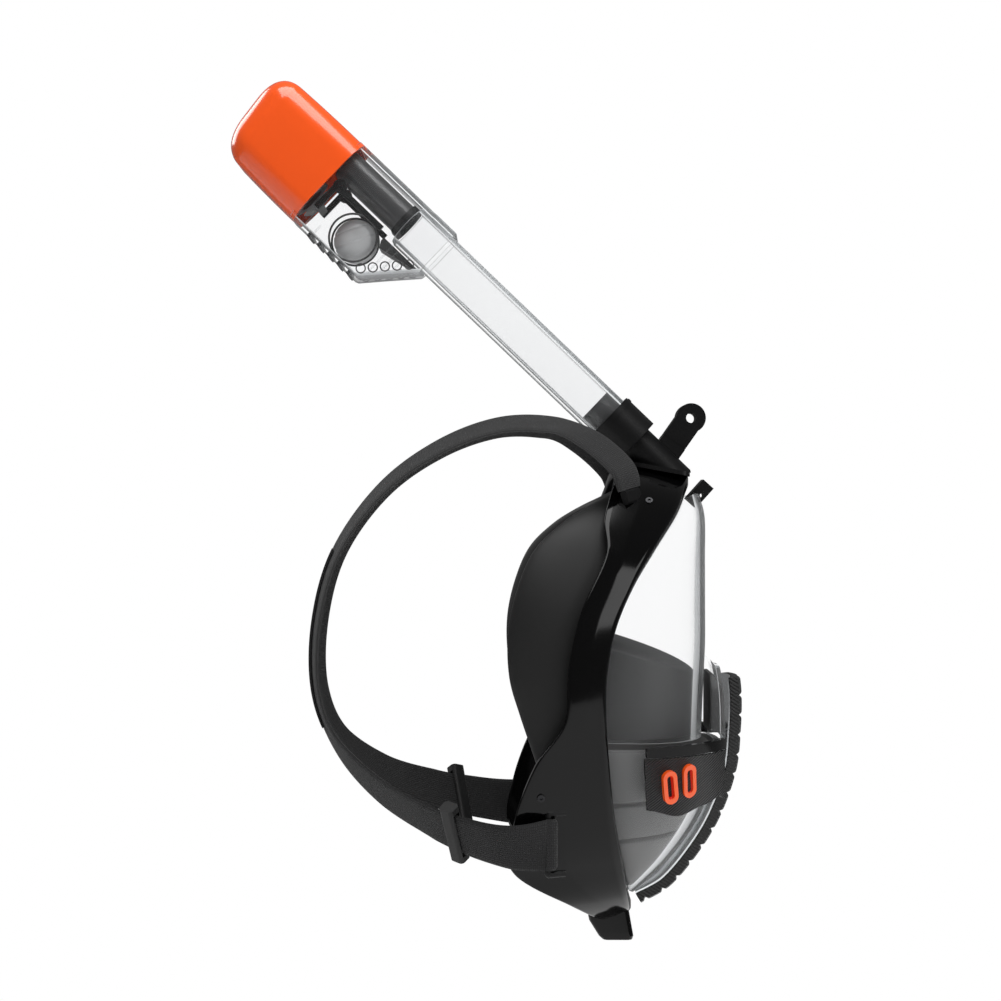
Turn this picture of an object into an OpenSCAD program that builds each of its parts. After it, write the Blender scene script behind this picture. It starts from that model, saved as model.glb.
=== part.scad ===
/* [Snorkel] */
// Depth of the snorkel tube, front to back
tube_depth = 23; // [22:0.5:24]
// Width of the snorkel tube, side to side
tube_width = 40; // [38:1:42]
// Wall of the snorkel tube
tube_wall = 1.8; // [1.4:0.1:2.2]
// Angle of the snorkel, leaning back from upright
lean = 46.2; // [44:0.2:48]
// Width of the dry top housing
housing_width = 48; // [46:1:52]
// Diameter of the float ball
ball_d = 23; // [20:0.5:23]
// How far the float ball rises to close the top
ball_rise = 6; // [3:0.5:6]

/* [Mask] */
// Wall of the lens
lens_wall = 2.4; // [2:0.1:3]
// Thickness of the frame band
frame_wall = 5; // [4:0.5:6]
// Wall of the silicone skirt
skirt_wall = 2.5; // [2:0.1:3]
// Half width of the ribbed chin cover
cover_half = 18; // [16:1:20]

/* [Camera mount] */
// Radius of the eye's hole
eye_hole_r = 2.6; // [2.5:0.1:2.7]
// Radius of the eye's ring
eye_r = 7.5; // [7:0.1:8]
// Thickness of each prong, and of each gap
prong = 3; // [2.8:0.1:3.1]

/* [Strap] */
// Width of the strap
strap_width = 25; // [20:1:26]
// Thickness of the strap
strap_t = 2.2; // [1.6:0.1:2.4]

/* [Hidden] */
$fn = 48;
SIDES = ["left", "right"];

// Half the depth of the sleeve at the dry top's foot, which holds the tube.
sleeve_half = 13.6;

// Where the snorkel's own axes start: its sleeve's end, on the tube's centre line.
snorkel_at = [-57.2, 0, 218];
// Heights along the snorkel's axis
cap_top = 124;
cap_end = 67;
sleeve_top = 22;
collar_top = -120;
neck_top = -139;
neck_end = -158;
// Middle of the cap and housing, to the front of the tube's axis
cap_mid = -12.6;
cap_depth = 52;
ball_at = [-24, 36];
// Middle of the camera mount's eye
eye_at = [72.1, 0, 134.7];
// The lever turns just above the ball's highest place.
pivot_at = [-10, ball_at[1] + ball_d / 2 + ball_rise + 5.5];

// Front edge of the frame, left half, top to bottom
FRONT = [[71, 0, 105], [68, 22, 100], [62, 42, 88], [50, 60, 70], [39, 71, 52], [30.5, 77, 32],
    [26, 79, 10], [25.5, 77, -11], [27, 72, -33], [30, 62, -61], [34.5, 48, -86], [38.5, 30, -106],
    [41.5, 0, -117]];
// Rear edge of the frame, left half
REAR = [[34, 0, 110.2], [32, 26, 108], [30, 44, 100], [25, 62, 83], [25, 72, 66], [13, 83, 39],
    [7, 87, 12], [5, 87, -14], [-9, 85, -35], [-19, 80, -63], [-20, 73, -87], [8, 50, -107],
    [27, 0, -122]];
// Rearmost line of the face seal, left half
RIM = [[26, 0, 90], [24, 22, 91], [17, 44, 89], [4, 58, 81], [-9, 66, 68], [-17, 71, 50],
    [-21.5, 73, 29], [-21, 73, 7], [-16, 70, -12], [-8, 66, -36], [0, 58, -62], [8, 44, -86],
    [16, 0, -108]];
// Middle profiles of the clear shells, top to bottom, as [forward, up]
LENS_MID = [[76, 96], [79, 84], [79, 62], [79, 41], [79, 20], [78, -2], [77, -27]];
LENS_EDGE = [1.2, 2.1, 3, 4.4, 5.6, 6.7, 7.7];
SHELL_MID = [[87, -30], [84, -48], [76, -69], [62, -89], [43, -107]];
SHELL_EDGE = [7.9, 8.7, 9.6, 10.4, 11.3];
COVER_MID = [[97.5, 3], [98.4, -8], [98, -24], [95.8, -45], [88, -68], [77, -87], [62, -105],
    [47, -114]];
// The strap's centre line, left side
STRAP = [[38, 48.5, 98], [34, 48, 109], [18, 43, 123], [0, 34, 130], [-27, 25, 130], [-57, 18, 119],
    [-86, 14, 98], [-109, 13, 66], [-119, 13, 30], [-119, 13, -5], [-108, 17, -32],
    [-86, 36, -52], [-60, 61, -64], [-40, 76, -70], [-20, 83, -73.5], [-3, 79.5, -73]];
HEAD = [-40, 0, 25];
HEAD_SIZE = [85, 75, 105];

function unit(v) = v / norm(v);
function mix(a, b, t) = a + (b - a) * t;
function flip(p) = [p[0], -p[1], p[2]];
// A smooth curve through four neighbouring points, from the second to the third.
function bend(a, b, c, d, t) =
    0.5 * (2 * b + (c - a) * t + (2 * a - 5 * b + 4 * c - d) * t * t
    + (3 * b - a - 3 * c + d) * t * t * t);
function open_at(p, s) =
    let (n = len(p) - 1, i = min(floor(s), n - 1))
    bend(p[max(i - 1, 0)], p[i], p[i + 1], p[min(i + 2, n)], s - i);
function whole_ring(h) = concat(h, [for (i = [len(h) - 2:-1:1]) flip(h[i])]);
function ring_at(r, s) =
    let (n = len(r), i = floor(s))
    bend(r[(i + n - 1) % n], r[i % n], r[(i + 1) % n], r[(i + 2) % n], s - i);
// The way in from the rim of the mask, across the front view's oval.
function inward(p) = -unit([0, p[1] / 6400, (p[2] + 10) / 13200]);

// A closed tube of sections round a ring: grid[i][j], closed both ways.
module ring_skin(grid) {
    n = len(grid);
    m = len(grid[0]);
    polyhedron([for (r = grid) each r], [for (i = [0:n - 1], j = [0:m - 1])
        let (a = i * m + j, b = i * m + (j + 1) % m,
            c = ((i + 1) % n) * m + (j + 1) % m, d = ((i + 1) % n) * m + j)
        each [[a, b, c], [a, c, d]]]);
}

// A swept section with flat ends: grid[i][j], closed across only.
module sweep_skin(grid) {
    n = len(grid);
    m = len(grid[0]);
    sides = [for (i = [0:n - 2], j = [0:m - 1])
        let (a = i * m + j, b = i * m + (j + 1) % m, c = (i + 1) * m + (j + 1) % m, d = (i + 1) * m + j)
        each [[a, b, c], [a, c, d]]];
    first = [for (j = [1:m - 2]) [0, j + 1, j]];
    last = [for (j = [1:m - 2]) [(n - 1) * m, (n - 1) * m + j, (n - 1) * m + j + 1]];
    polyhedron([for (r = grid) each r], concat(sides, first, last));
}

// A wall between two open grids of the same size, closed all round its edge.
module wall_skin(outer, inner) {
    n = len(outer);
    strips = [for (i = [0:n - 1]) concat(outer[i], [for (j = [len(inner[i]) - 1:-1:0]) inner[i][j]])];
    m = len(strips[0]);
    half = m / 2;
    sides = [for (i = [0:n - 2], j = [0:m - 1])
        let (a = i * m + j, b = i * m + (j + 1) % m, c = (i + 1) * m + (j + 1) % m, d = (i + 1) * m + j)
        each [[a, b, c], [a, c, d]]];
    ends = [for (j = [0:half - 2])
        let (a = j, b = j + 1, c = m - 2 - j, d = m - 1 - j, k = (n - 1) * m)
        each [[a, c, b], [a, d, c], [k + a, k + b, k + c], [k + a, k + c, k + d]]];
    polyhedron([for (r = strips) each r], concat(sides, ends));
}

// One row of a bulging shell: edge point e at the left, middle point m, power for squareness.
function row(e, m, wall, square, steps, from = -90, to = 90) =
    [for (k = [0:steps])
        let (a = mix(from, to, k / steps), s = sin(a), c = cos(a),
            y = (e[1] - wall) * sign(s) * pow(abs(s), square),
            f = pow(max(c, 0), square))
        [e[0] + (m[0] - wall - e[0]) * f, y, e[2] + (m[1] - e[2]) * f]];
function shell_rows(mid, edges, inset, wall, steps, rows, square = 0.85, from = -90, to = 90) =
    [for (i = [0:rows])
        let (s = i / rows * (len(mid) - 1), e = open_at(FRONT, open_at(edges, s)), m = open_at(mid, s),
            q = e + inward(e) * inset)
        row(q, m, wall, square, steps, from, to)];

module in_snorkel() {
    translate(snorkel_at) rotate([0, -lean, 0]) children();
}

module both_ways(side) {
    if (side == "left") children();
    else mirror([0, 1, 0]) children();
}

// A stadium outline: x deep, y wide.
module stadium(x, y) {
    square([x, y - x], center = true);
    for (s = [-1, 1]) translate([0, s * (y - x) / 2]) circle(d = x);
}

module stadium_tube(x, y, wall, low, high) {
    translate([0, 0, low]) linear_extrude(high - low) difference() {
        stadium(x, y);
        stadium(x - 2 * wall, y - 2 * wall);
    }
}

module round_box(x, y, r) {
    square([x - 2 * r, y], center = true);
    square([x, y - 2 * r], center = true);
    for (a = [-1, 1], b = [-1, 1]) translate([a * (x / 2 - r), b * (y / 2 - r)]) circle(r = r);
}

module frame() {
    f = whole_ring(FRONT);
    r = whole_ring(REAR);
    steps = 72;
    color("#141414") difference() {
        ring_skin([for (k = [0:steps - 1])
            let (s = k / steps * len(f), a = ring_at(f, s), b = ring_at(r, s), m = (a + b) / 2,
                out = -inward(m))
            [m + out * 1.5, b, b - out * frame_wall, m - out * frame_wall, a - out * frame_wall, a]]);
        translate([54, 0, 90]) linear_extrude(30) stadium(12, 24);
    }
}

module chin_lug() {
    color("#141414") difference() {
        translate([34.5, 0, -133]) linear_extrude(22) round_box(15, 38, 4);
        frame();
        translate([34.5, 0, -110]) cube([60, 60, 16], center = true);
    }
}

module lens() {
    color("#dfe8ee", 0.4) wall_skin(
        shell_rows(LENS_MID, LENS_EDGE, frame_wall + 0.6, 0, 24, 14),
        shell_rows(LENS_MID, LENS_EDGE, frame_wall + 0.6, lens_wall, 24, 14));
}

module chin_shell() {
    color("#8f9496", 0.6) wall_skin(
        shell_rows(SHELL_MID, SHELL_EDGE, frame_wall + 0.6, 0, 24, 10),
        shell_rows(SHELL_MID, SHELL_EDGE, frame_wall + 0.6, 2.2, 24, 10));
}

// The clear nose hood in front of the lens.
function hood_rows(w) = [for (i = [0:5])
    let (t = i / 5, z = 11 - t * 34, x = 89.4 - 3 * pow(1 - t, 3) - w, half = 27 - w)
    [for (k = [0:12]) let (a = -90 + 15 * k)
        [80.2 + (x - 80.2) * pow(cos(a), 0.6), half * sin(a), z - 5 * cos(a)]]];

module front_hood() {
    color("#dfe8ee", 0.4) wall_skin(hood_rows(0), hood_rows(2.2));
}

// The grey inner wall of the chin, behind its clear shell.
module chin_duct() {
    color("#8a8a8a") difference() {
        wall_skin(shell_rows(SHELL_MID, SHELL_EDGE, frame_wall + 3, 6, 20, 8),
            shell_rows(SHELL_MID, SHELL_EDGE, frame_wall + 3, 7.6, 20, 8));
        drain_place() translate([0, 0, -14]) cylinder(r = 13.1, h = 30);
    }
}

module skirt() {
    f = whole_ring(FRONT);
    r = whole_ring(REAR);
    rim = whole_ring(RIM);
    steps = 64;
    color("#1d1d1d") ring_skin([for (k = [0:steps - 1])
        let (s = k / steps * len(f), a = ring_at(f, s), b = ring_at(r, s), e = ring_at(rim, s),
            n = inward((a + b) / 2), top = mix(a, b, 0.55) + n * (frame_wall + 1.1),
            belly = mix(top, e, 0.55) - n * 4, lip = e + n * 13 + [9, 0, 0])
        [top, belly, e, lip, lip + [skirt_wall, 0, 0], e + [skirt_wall + 1, 0, 0] + n * 3,
            belly + n * skirt_wall, top + n * skirt_wall]]);
}

// The nose and mouth cup inside the mask.
function pocket_rows(w) = [for (i = [0:8])
    let (t = i / 8, z = mix(14, -24, t) + w * (1 - 2 * t), back = mix(28, 14, t), half = mix(24, 44, t) - w,
        x = mix(70, 73, sin(180 * t)) - w)
    [for (k = [0:16]) let (a = -90 + 180 * k / 16, reach = pow(max(cos(a), 0), 0.8))
        [back + (x - back) * reach, half * sin(a), z - 6 * cos(a) * (1 - t)]]];

module nose_pocket() {
    color("#4a4a4a") difference() {
        wall_skin(pocket_rows(0), pocket_rows(2));
        for (s = [-1, 1]) inhale_place(s) translate([0, 0, -12]) cylinder(r = 12.2, h = 24);
    }
}

module inhale_place(s) {
    translate([50, s * 30, -4]) rotate([0, 0, -s * 20]) rotate([-s * 90, 0, 0]) children();
}

module inhale_seat(side) {
    s = side == "left" ? 1 : -1;
    color("#5a5a5a") inhale_place(s) difference() {
        translate([0, 0, -2]) cylinder(r = 12.1, h = 4);
        for (a = [0:60:300]) rotate(a) translate([5.6, 0, -3]) cylinder(r = 2, h = 6);
        translate([0, 0, -3]) cylinder(r = 1.5, h = 6);
    }
}

module inhale_disc(side) {
    s = side == "left" ? 1 : -1;
    color("#c9c9c9") inhale_place(s) union() {
        translate([0, 0, 2.1]) cylinder(r = 9, h = 0.8);
        translate([0, 0, -4.4]) cylinder(r = 1.44, h = 6.8);
        translate([0, 0, -5.2]) cylinder(r = 2.2, h = 0.8);
    }
}

// The drain's middle, low in the chin, and its axis down and forward.
module drain_place() {
    translate([44.8, 0, -93.7]) rotate([0, 138, 0]) children();
}

module drain_seat() {
    color("#707070") drain_place() difference() {
        cylinder(r = 13, h = 3);
        for (a = [0:60:300]) rotate(a) translate([7.5, 0, -1]) cylinder(r = 2.6, h = 5);
        translate([0, 0, -1]) cylinder(r = 1.5, h = 5);
    }
}

module drain_disc() {
    color("#c9c9c9") drain_place() union() {
        translate([0, 0, 3.1]) cylinder(r = 11, h = 0.9);
        translate([0, 0, -2.4]) cylinder(r = 1.44, h = 5.8);
        translate([0, 0, -3.2]) cylinder(r = 2.2, h = 0.8);
    }
}

// The ribbed cover down the middle of the chin: its outer line, set in by w.
function cover_rows(w) = [for (i = [0:28])
    let (s = i / 28 * (len(COVER_MID) - 1), p = open_at(COVER_MID, s), q = open_at(COVER_MID, s + 0.02),
        o = open_at(COVER_MID, max(s - 0.02, 0)), t = unit(q - o), n = [-t[1], t[0]],
        half = cover_half * (1 - 0.25 * pow(s / 7, 2)))
    [for (k = [-5:5]) let (y = k / 5, d = w + 2.5 * y * y)
        [p[0] - n[0] * d, half * y, p[1] - n[1] * d]]];

module chin_cover() {
    color("#1b1b1b") wall_skin(cover_rows(0), cover_rows(4.6));
}

module cover_trim() {
    color("#c8ccd0") wall_skin(cover_rows(5), cover_rows(5.8));
}

// Side panels stand a little off the shells, at the height between lens and chin shell.
function side_panel(low, high, from, to, off, w) = [for (i = [0:5])
    let (t = i / 5, s = mix(high, low, t), e = open_at(FRONT, s))
    [for (k = [0:10]) let (a = mix(from, to, k / 10), c = cos(a), q = sin(a))
        [e[0] + (87 + off - w - e[0]) * pow(c, 0.85), (e[1] - 3 + off - w) * pow(q, 0.85),
            e[2] + (mix(-29, -54, (s - 7.9) / 0.9) - e[2]) * pow(c, 0.85)]]];

module vent_panel(side) {
    color("#202020") both_ways(side) difference() {
        wall_skin(side_panel(8.75, 8.0, 26, 76, 5.2, 0), side_panel(8.75, 8.0, 26, 76, 5.2, 2));
        for (k = [0, 1]) vent_place(k) linear_extrude(14, center = true) stadium(8, 18);
    }
}

module vent_place(k) {
    translate([56.5 + 9.5 * k, 65.5 - 5 * k, -46.6 + 2.5 * k])
        rotate([90, 0, 158 - 10 * k]) rotate([14, 0, -12]) children();
}

module vent_rings(side) {
    color("#ff4b12") both_ways(side) for (k = [0, 1]) vent_place(k)
        translate([0, 0, -0.8]) linear_extrude(2.6) difference() {
            stadium(7.6, 17.4);
            stadium(3.4, 12.4);
        }
}

module trim_bar(side) {
    color("#101010") both_ways(side)
        wall_skin(side_panel(7.97, 7.78, 26, 77, 5.8, 0), side_panel(7.97, 7.78, 26, 77, 5.8, 3));
}

module lens_clip() {
    color("#141414") difference() {
        translate([76.6, 0, 96]) rotate([0, 42, 0]) cube([7, 16, 13], center = true);
        lens();
        frame();
        translate([77.6, 20, 95]) rotate([90, 0, 0]) cylinder(r = 1.2, h = 40);
    }
}

module frame_screws() {
    color("#7d8083") difference() {
        for (p = [[48, 45.4, 91.6, 46.8], [-6, 79.8, -50, 103.6]], s = [-1, 1])
            translate([p[0], s * p[1], p[2]]) rotate([-s * p[3], 0, 0]) difference() {
                cylinder(r = 1.8, h = 1.6);
                translate([0, 0, 1]) cylinder(r = 0.9, h = 2, $fn = 6);
            }
        frame();
    }
}

// The way that the strap's width runs: across its line, flat to the head.
function strap_ring(s, width, t) =
    let (p = open_at(STRAP, s), after = open_at(STRAP, min(s + 0.05, len(STRAP) - 1)),
        d = unit(after - open_at(STRAP, max(s - 0.05, 0))), g = p - HEAD,
        n = unit([for (i = [0:2]) g[i] / pow(HEAD_SIZE[i], 2)]),
        w = unit(cross(d, n)), o = unit(cross(w, d)))
    [p + w * width / 2 + o * t / 2, p - w * width / 2 + o * t / 2, p - w * width / 2 - o * t / 2,
        p + w * width / 2 - o * t / 2];

// A place on the strap: X along it, Y out of its face, Z across its width.
module on_strap(s) {
    r = strap_ring(s, 1, 1);
    w = unit(r[0] - r[1]);
    o = unit(r[0] - r[3]);
    d = cross(o, w);
    p = (r[0] + r[2]) / 2;
    multmatrix([[d[0], o[0], w[0], p[0]], [d[1], o[1], w[1], p[1]], [d[2], o[2], w[2], p[2]]]) children();
}

module strap(side) {
    last = len(STRAP) - 1;
    color("#191919") both_ways(side) sweep_skin([for (k = [0:56])
        let (s = k / 56 * last) strap_ring(s, strap_width * (s < 1 ? mix(0.6, 1, s) : 1), strap_t)]);
}

module strap_joiner() {
    color("#191919") sweep_skin([for (k = [0:12])
        let (s = 7 + k / 12 * 2.6, p = open_at(STRAP, s), q = unit([p[0] - HEAD[0], 0, p[2] - HEAD[2]]),
            c = [p[0], 0, p[2]] + q * 4.4, y = [0, 12, 0])
        [c + y + q * 0.8, c - y + q * 0.8, c - y, c + y]]);
}

module strap_bar(side) {
    color("#151515") both_ways(side) difference() {
        translate([4.6, 76, -73]) rotate([0, 0, -35]) difference() {
            linear_extrude(34, center = true) round_box(14, 4, 1.6);
            translate([-1, 0, 0]) linear_extrude(27.4, center = true) square([5, 12], center = true);
        }
        frame();
    }
}

module keeper(side) {
    color("#2a2a2a") both_ways(side) on_strap(12.6) difference() {
        linear_extrude(33, center = true) round_box(8, 7, 2);
        linear_extrude(26.4, center = true) square([12, 4], center = true);
    }
}

module strap_tip(side) {
    color("#202020") both_ways(side) difference() {
        on_strap(0) translate([-3.6, 0, 0]) linear_extrude(13, center = true) round_box(7, 3.6, 1.4);
        frame();
    }
}

module socket() {
    color("#141414") difference() {
        in_snorkel() stadium_tube(19.6, 34.6, 2.2, -175, neck_top - 0.3);
        below_frame_top(0);
    }
}

// The space under the frame's top, which leans forward, raised by some height.
module below_frame_top(up) {
    translate([52, 0, 110.2 + up]) rotate([0, 10.4, 0])
        translate([0, 0, -30]) cube([120, 80, 60], center = true);
    translate([91.5, 0, 110]) cube([40, 80, 60], center = true);
}

module camera_mount() {
    gap = 2 * prong;
    color("#141414") difference() {
        union() {
            for (k = [-1:1]) translate(eye_at + [0, k * gap + prong / 2, 0]) rotate([90, 0, 0])
                cylinder(r = eye_r, h = prong);
            for (k = [-1:1]) translate(eye_at + [0, k * gap, 0]) rotate([0, 35, 0])
                translate([0, 0, -11]) cube([13.4, prong, 22], center = true);
            translate(eye_at) rotate([0, 35, 0]) translate([0, 0, -19]) cube([13.4, 20, 7], center = true);
        }
        translate(eye_at + [0, 20, 0]) rotate([90, 0, 0]) cylinder(r = eye_hole_r, h = 40);
        in_snorkel() translate([0, 0, -180]) linear_extrude(41) stadium(19.6, 34.6);
        in_snorkel() translate([0, 0, neck_top - 0.4]) linear_extrude(20) stadium(29, 46);
    }
}

module neck() {
    color("#181818") difference() {
        in_snorkel() stadium_tube(15, 30, 1.8, neck_end, neck_top);
        below_frame_top(1.2);
    }
}

module seal_ring() {
    color("#5b5b5b") in_snorkel() translate([0, 0, neck_top]) linear_extrude(2) difference() {
        stadium(22.8, 39.8);
        stadium(13, 28);
    }
}

module collar() {
    color("#181818") in_snorkel() {
        stadium_tube(27.6, 44.6, 2.2, neck_top, collar_top);
        stadium_tube(28.6, 45.6, 0.5, collar_top - 3, collar_top - 1);
    }
}

module tube_plug() {
    color("#6c6c6c") in_snorkel() difference() {
        translate([0, 0, neck_top + 2.2]) linear_extrude(26) stadium(19, 20);
        translate([0, 0, neck_top]) linear_extrude(30) stadium(16, 17);
    }
}

module snorkel_tube() {
    color("#e8eef2", 0.4) in_snorkel() difference() {
        translate([0, 0, neck_top + 2.1]) linear_extrude(sleeve_top - neck_top - 2.1)
            stadium(tube_depth, tube_width);
        translate([0, 0, neck_top - 1]) linear_extrude(sleeve_top - neck_top + 2) difference() {
            stadium(tube_depth - 2 * tube_wall, tube_width - 2 * tube_wall);
            for (s = [-1, 1]) translate([0, s * 10.8]) square([tube_depth, 1.2], center = true);
        }
    }
}

// The housing's outline from the side, as [front, height]. 
function housing_side(w) = [[14 - w, cap_end - 0.2], [13 - w, sleeve_top],
    [sleeve_half - w, 14], [sleeve_half - w, 0], [-sleeve_half + w, 0],
    [-38.8 + w, sleeve_top + 1], [-38.8 + w, cap_end - 0.2]];

module housing_block(w) {
    rotate([90, 0, 0]) linear_extrude(housing_width - 2 * w, center = true) polygon(housing_side(w));
}

module dry_top_housing() {
    color("#dfe8ee", 0.4) in_snorkel() difference() {
        housing_block(0);
        difference() {
            housing_block(2);
            translate([0, 0, -1]) linear_extrude(3.2) square([60, 60], center = true);
        }
        translate([cap_mid, 0, cap_end - 2]) cube([48, 44, 8], center = true);
        translate([0, 0, -1]) linear_extrude(30) stadium(tube_depth + 0.1, tube_width + 0.1);
        for (k = [0:4]) translate([-38, 0, 28.6 + 6.9 * k]) cube([8, 30, 3], center = true);
        for (k = [-2:2]) translate([-27, k * 7, 12]) rotate([0, 48, 0]) cube([9, 4, 18], center = true);
    }
}

module inhale_channel() {
    color("#3c3c3c") in_snorkel() translate([1, 0, 0]) stadium_tube(16, 30, 1.8, 26, 66.5);
}

module channel_ring() {
    color("#101010") in_snorkel() translate([1, 0, 0]) stadium_tube(18, 32, 2.8, sleeve_top + 0.2, 26);
}

module channel_duct() {
    color("#2d2d2d") in_snorkel() difference() {
        translate([-13.6, 0, 0]) rotate([90, 0, 0])
            linear_extrude(22, center = true) polygon([[-5, 24], [-1.6, 26], [0.6, 26], [0.6, 3], [-0.6, 3]]);
        translate([-14.4, 0, 12]) cube([0.9, 17, 40], center = true);
    }
}

module top_cap() {
    cap_hollow = cap_top - cap_end - 21;
    color("#ff4b12") in_snorkel() difference() {
        hull() {
            translate([cap_mid, 0, cap_end]) linear_extrude(1) round_box(cap_depth, 56, 12);
            for (a = [-1, 1], b = [-1, 1])
                translate([cap_mid + 0.5 + a * 13.5, b * 15, cap_top - 12 - (a < 0 ? 7 : 0)])
                    sphere(r = 12, $fn = 32);
        }
        translate([cap_mid, 0, cap_end - 1]) linear_extrude(cap_hollow) round_box(cap_depth - 5, 51, 10);
    }
}

module valve_seat() {
    color("#8b8b8b") in_snorkel() difference() {
        translate([ball_at[0], 0, cap_end]) cylinder(r = 11, h = 2.6);
        translate([ball_at[0], 0, cap_end - 1]) cylinder(r = 7, h = 4);
    }
}

module lever_pin() {
    color("#b9bcc0") in_snorkel() translate([pivot_at[0], 22, pivot_at[1]]) rotate([90, 0, 0])
        cylinder(r = 1.2, h = 44);
}

module float_lever() {
    color("#1a1a1a") in_snorkel() for (s = [-1, 1]) difference() {
        union() {
            translate([pivot_at[0], s * 18.4, pivot_at[1]]) rotate([90, 0, 0])
                cylinder(r = 3.6, h = 2.4, center = true);
            translate([pivot_at[0] - 1, s * 18.4, pivot_at[1] - 15]) cube([3, 2.4, 30], center = true);
            translate([pivot_at[0] - 8, s * 18.4, pivot_at[1] + 1.5]) cube([16, 2.4, 3], center = true);
        }
        translate([pivot_at[0], s * 18.4, pivot_at[1]]) rotate([90, 0, 0])
            cylinder(r = 1.26, h = 4, center = true);
    }
}

module valve_pad() {
    color("#a9a9a9") in_snorkel() {
        translate([ball_at[0], 0, pivot_at[1] + 2.9]) cylinder(r1 = 6, r2 = 9, h = 2.6);
        translate([ball_at[0], 0, pivot_at[1] + 2]) cube([4, 34.4, 1.9], center = true);
    }
}

module float_ball() {
    color("#c4c6c8") in_snorkel() translate([ball_at[0], 0, ball_at[1]]) sphere(d = ball_d);
}

frame();
chin_lug();
lens();
front_hood();
chin_shell();
chin_duct();
skirt();
nose_pocket();
chin_cover();
cover_trim();
lens_clip();
frame_screws();
drain_seat();
drain_disc();
strap_joiner();
socket();
camera_mount();
neck();
collar();
tube_plug();
seal_ring();
snorkel_tube();
dry_top_housing();
inhale_channel();
channel_ring();
channel_duct();
top_cap();
valve_seat();
lever_pin();
float_lever();
valve_pad();
float_ball();
for (side = SIDES) {
    vent_panel(side);
    vent_rings(side);
    trim_bar(side);
    inhale_seat(side);
    inhale_disc(side);
    strap(side);
    strap_bar(side);
    keeper(side);
    strap_tip(side);
}
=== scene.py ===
"""Full face snorkel: the visible mask, snorkel and strap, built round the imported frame."""
import math
import bpy
import numpy as np
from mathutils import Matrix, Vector


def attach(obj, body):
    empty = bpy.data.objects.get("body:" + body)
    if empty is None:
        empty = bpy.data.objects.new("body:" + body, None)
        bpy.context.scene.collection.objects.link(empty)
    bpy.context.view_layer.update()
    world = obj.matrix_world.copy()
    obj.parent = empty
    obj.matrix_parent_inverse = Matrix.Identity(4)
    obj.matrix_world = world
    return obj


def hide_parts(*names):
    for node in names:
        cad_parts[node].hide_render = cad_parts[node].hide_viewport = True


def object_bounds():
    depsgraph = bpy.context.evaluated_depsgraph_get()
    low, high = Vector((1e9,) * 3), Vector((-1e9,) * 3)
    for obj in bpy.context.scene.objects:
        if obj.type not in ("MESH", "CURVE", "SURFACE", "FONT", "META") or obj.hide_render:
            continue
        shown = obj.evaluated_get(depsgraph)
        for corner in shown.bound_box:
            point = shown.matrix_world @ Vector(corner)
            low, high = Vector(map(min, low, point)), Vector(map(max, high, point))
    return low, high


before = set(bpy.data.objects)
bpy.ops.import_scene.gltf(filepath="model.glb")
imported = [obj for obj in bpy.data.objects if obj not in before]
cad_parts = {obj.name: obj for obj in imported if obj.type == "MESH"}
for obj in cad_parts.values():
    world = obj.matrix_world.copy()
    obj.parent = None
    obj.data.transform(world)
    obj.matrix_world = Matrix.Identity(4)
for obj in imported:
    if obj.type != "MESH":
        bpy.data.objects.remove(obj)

CAD_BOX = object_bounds()

bl_info = {
    "name": "Full Face Snorkel",
    "version": (1, 0, 0),
    "blender": (4, 5, 0),
    "location": "View3D > Sidebar > Snorkel",
    "description": "Builds a full face snorkel mask round its packed frame",
    "category": "Add Mesh",
}

MM = 0.001
# The snorkel's own axes: its sleeve's end on the tube's centre line, and its lean from upright.
SNORKEL_AT = np.array([-57.2, 0.0, 218.0])
LEAN = math.radians(46.2)
# Front and rear edges of the frame and the face seal's rim: left half, top to bottom, in millimetres.
FRONT = [[71, 0, 105], [68, 22, 100], [62, 42, 88], [50, 60, 70], [39, 71, 52], [30.5, 77, 32],
         [26, 79, 10], [25.5, 77, -11], [27, 72, -33], [30, 62, -61], [34.5, 48, -86], [38.5, 30, -106],
         [41.5, 0, -117]]
REAR = [[34, 0, 110.2], [32, 26, 108], [30, 44, 100], [25, 62, 83], [25, 72, 66], [13, 83, 39],
        [7, 87, 12], [5, 87, -14], [-9, 85, -35], [-19, 80, -63], [-20, 73, -87], [8, 50, -107],
        [27, 0, -122]]
RIM = [[26, 0, 90], [24, 22, 91], [17, 44, 89], [4, 58, 81], [-9, 66, 68], [-17, 71, 50],
       [-21.5, 73, 29], [-21, 73, 7], [-16, 70, -12], [-8, 66, -36], [0, 58, -62], [8, 44, -86],
       [16, 0, -108]]
# Middle lines of the clear shells and the cover, as [forward, up], and the edge stations that they meet.
LENS_MID = [[76, 96], [79, 84], [79, 62], [79, 41], [79, 20], [78, -2], [77, -27]]
LENS_EDGE = [1.2, 2.1, 3, 4.4, 5.6, 6.7, 7.7]
SHELL_MID = [[87, -30], [84, -48], [76, -69], [62, -89], [43, -107]]
SHELL_EDGE = [7.9, 8.7, 9.6, 10.4, 11.3]
COVER_MID = [[97.5, 3], [98.4, -8], [98, -24], [95.8, -45], [88, -68], [77, -87], [62, -105],
             [47, -114]]
# The strap's middle line, left side, and the head that it lies round.
STRAP = [[38, 48.5, 98], [34, 48, 109], [18, 43, 123], [0, 34, 130], [-27, 25, 130], [-57, 18, 119],
         [-86, 14, 98], [-109, 13, 66], [-119, 13, 30], [-119, 13, -5], [-108, 17, -32],
         [-86, 36, -52], [-60, 61, -64], [-40, 76, -70], [-20, 83, -73.5], [-3, 79.5, -73]]
HEAD = np.array([-40.0, 0.0, 25.0])
HEAD_SIZE = np.array([85.0, 75.0, 105.0])
# The strap's fold round its post: its reach past the last point, its radius and the length of the way back.
FOLD_REACH = 1.2
FOLD_TURN = 3.6
FOLD_BACK = 13.0
BALL_RADIUS = 11.45
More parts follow.
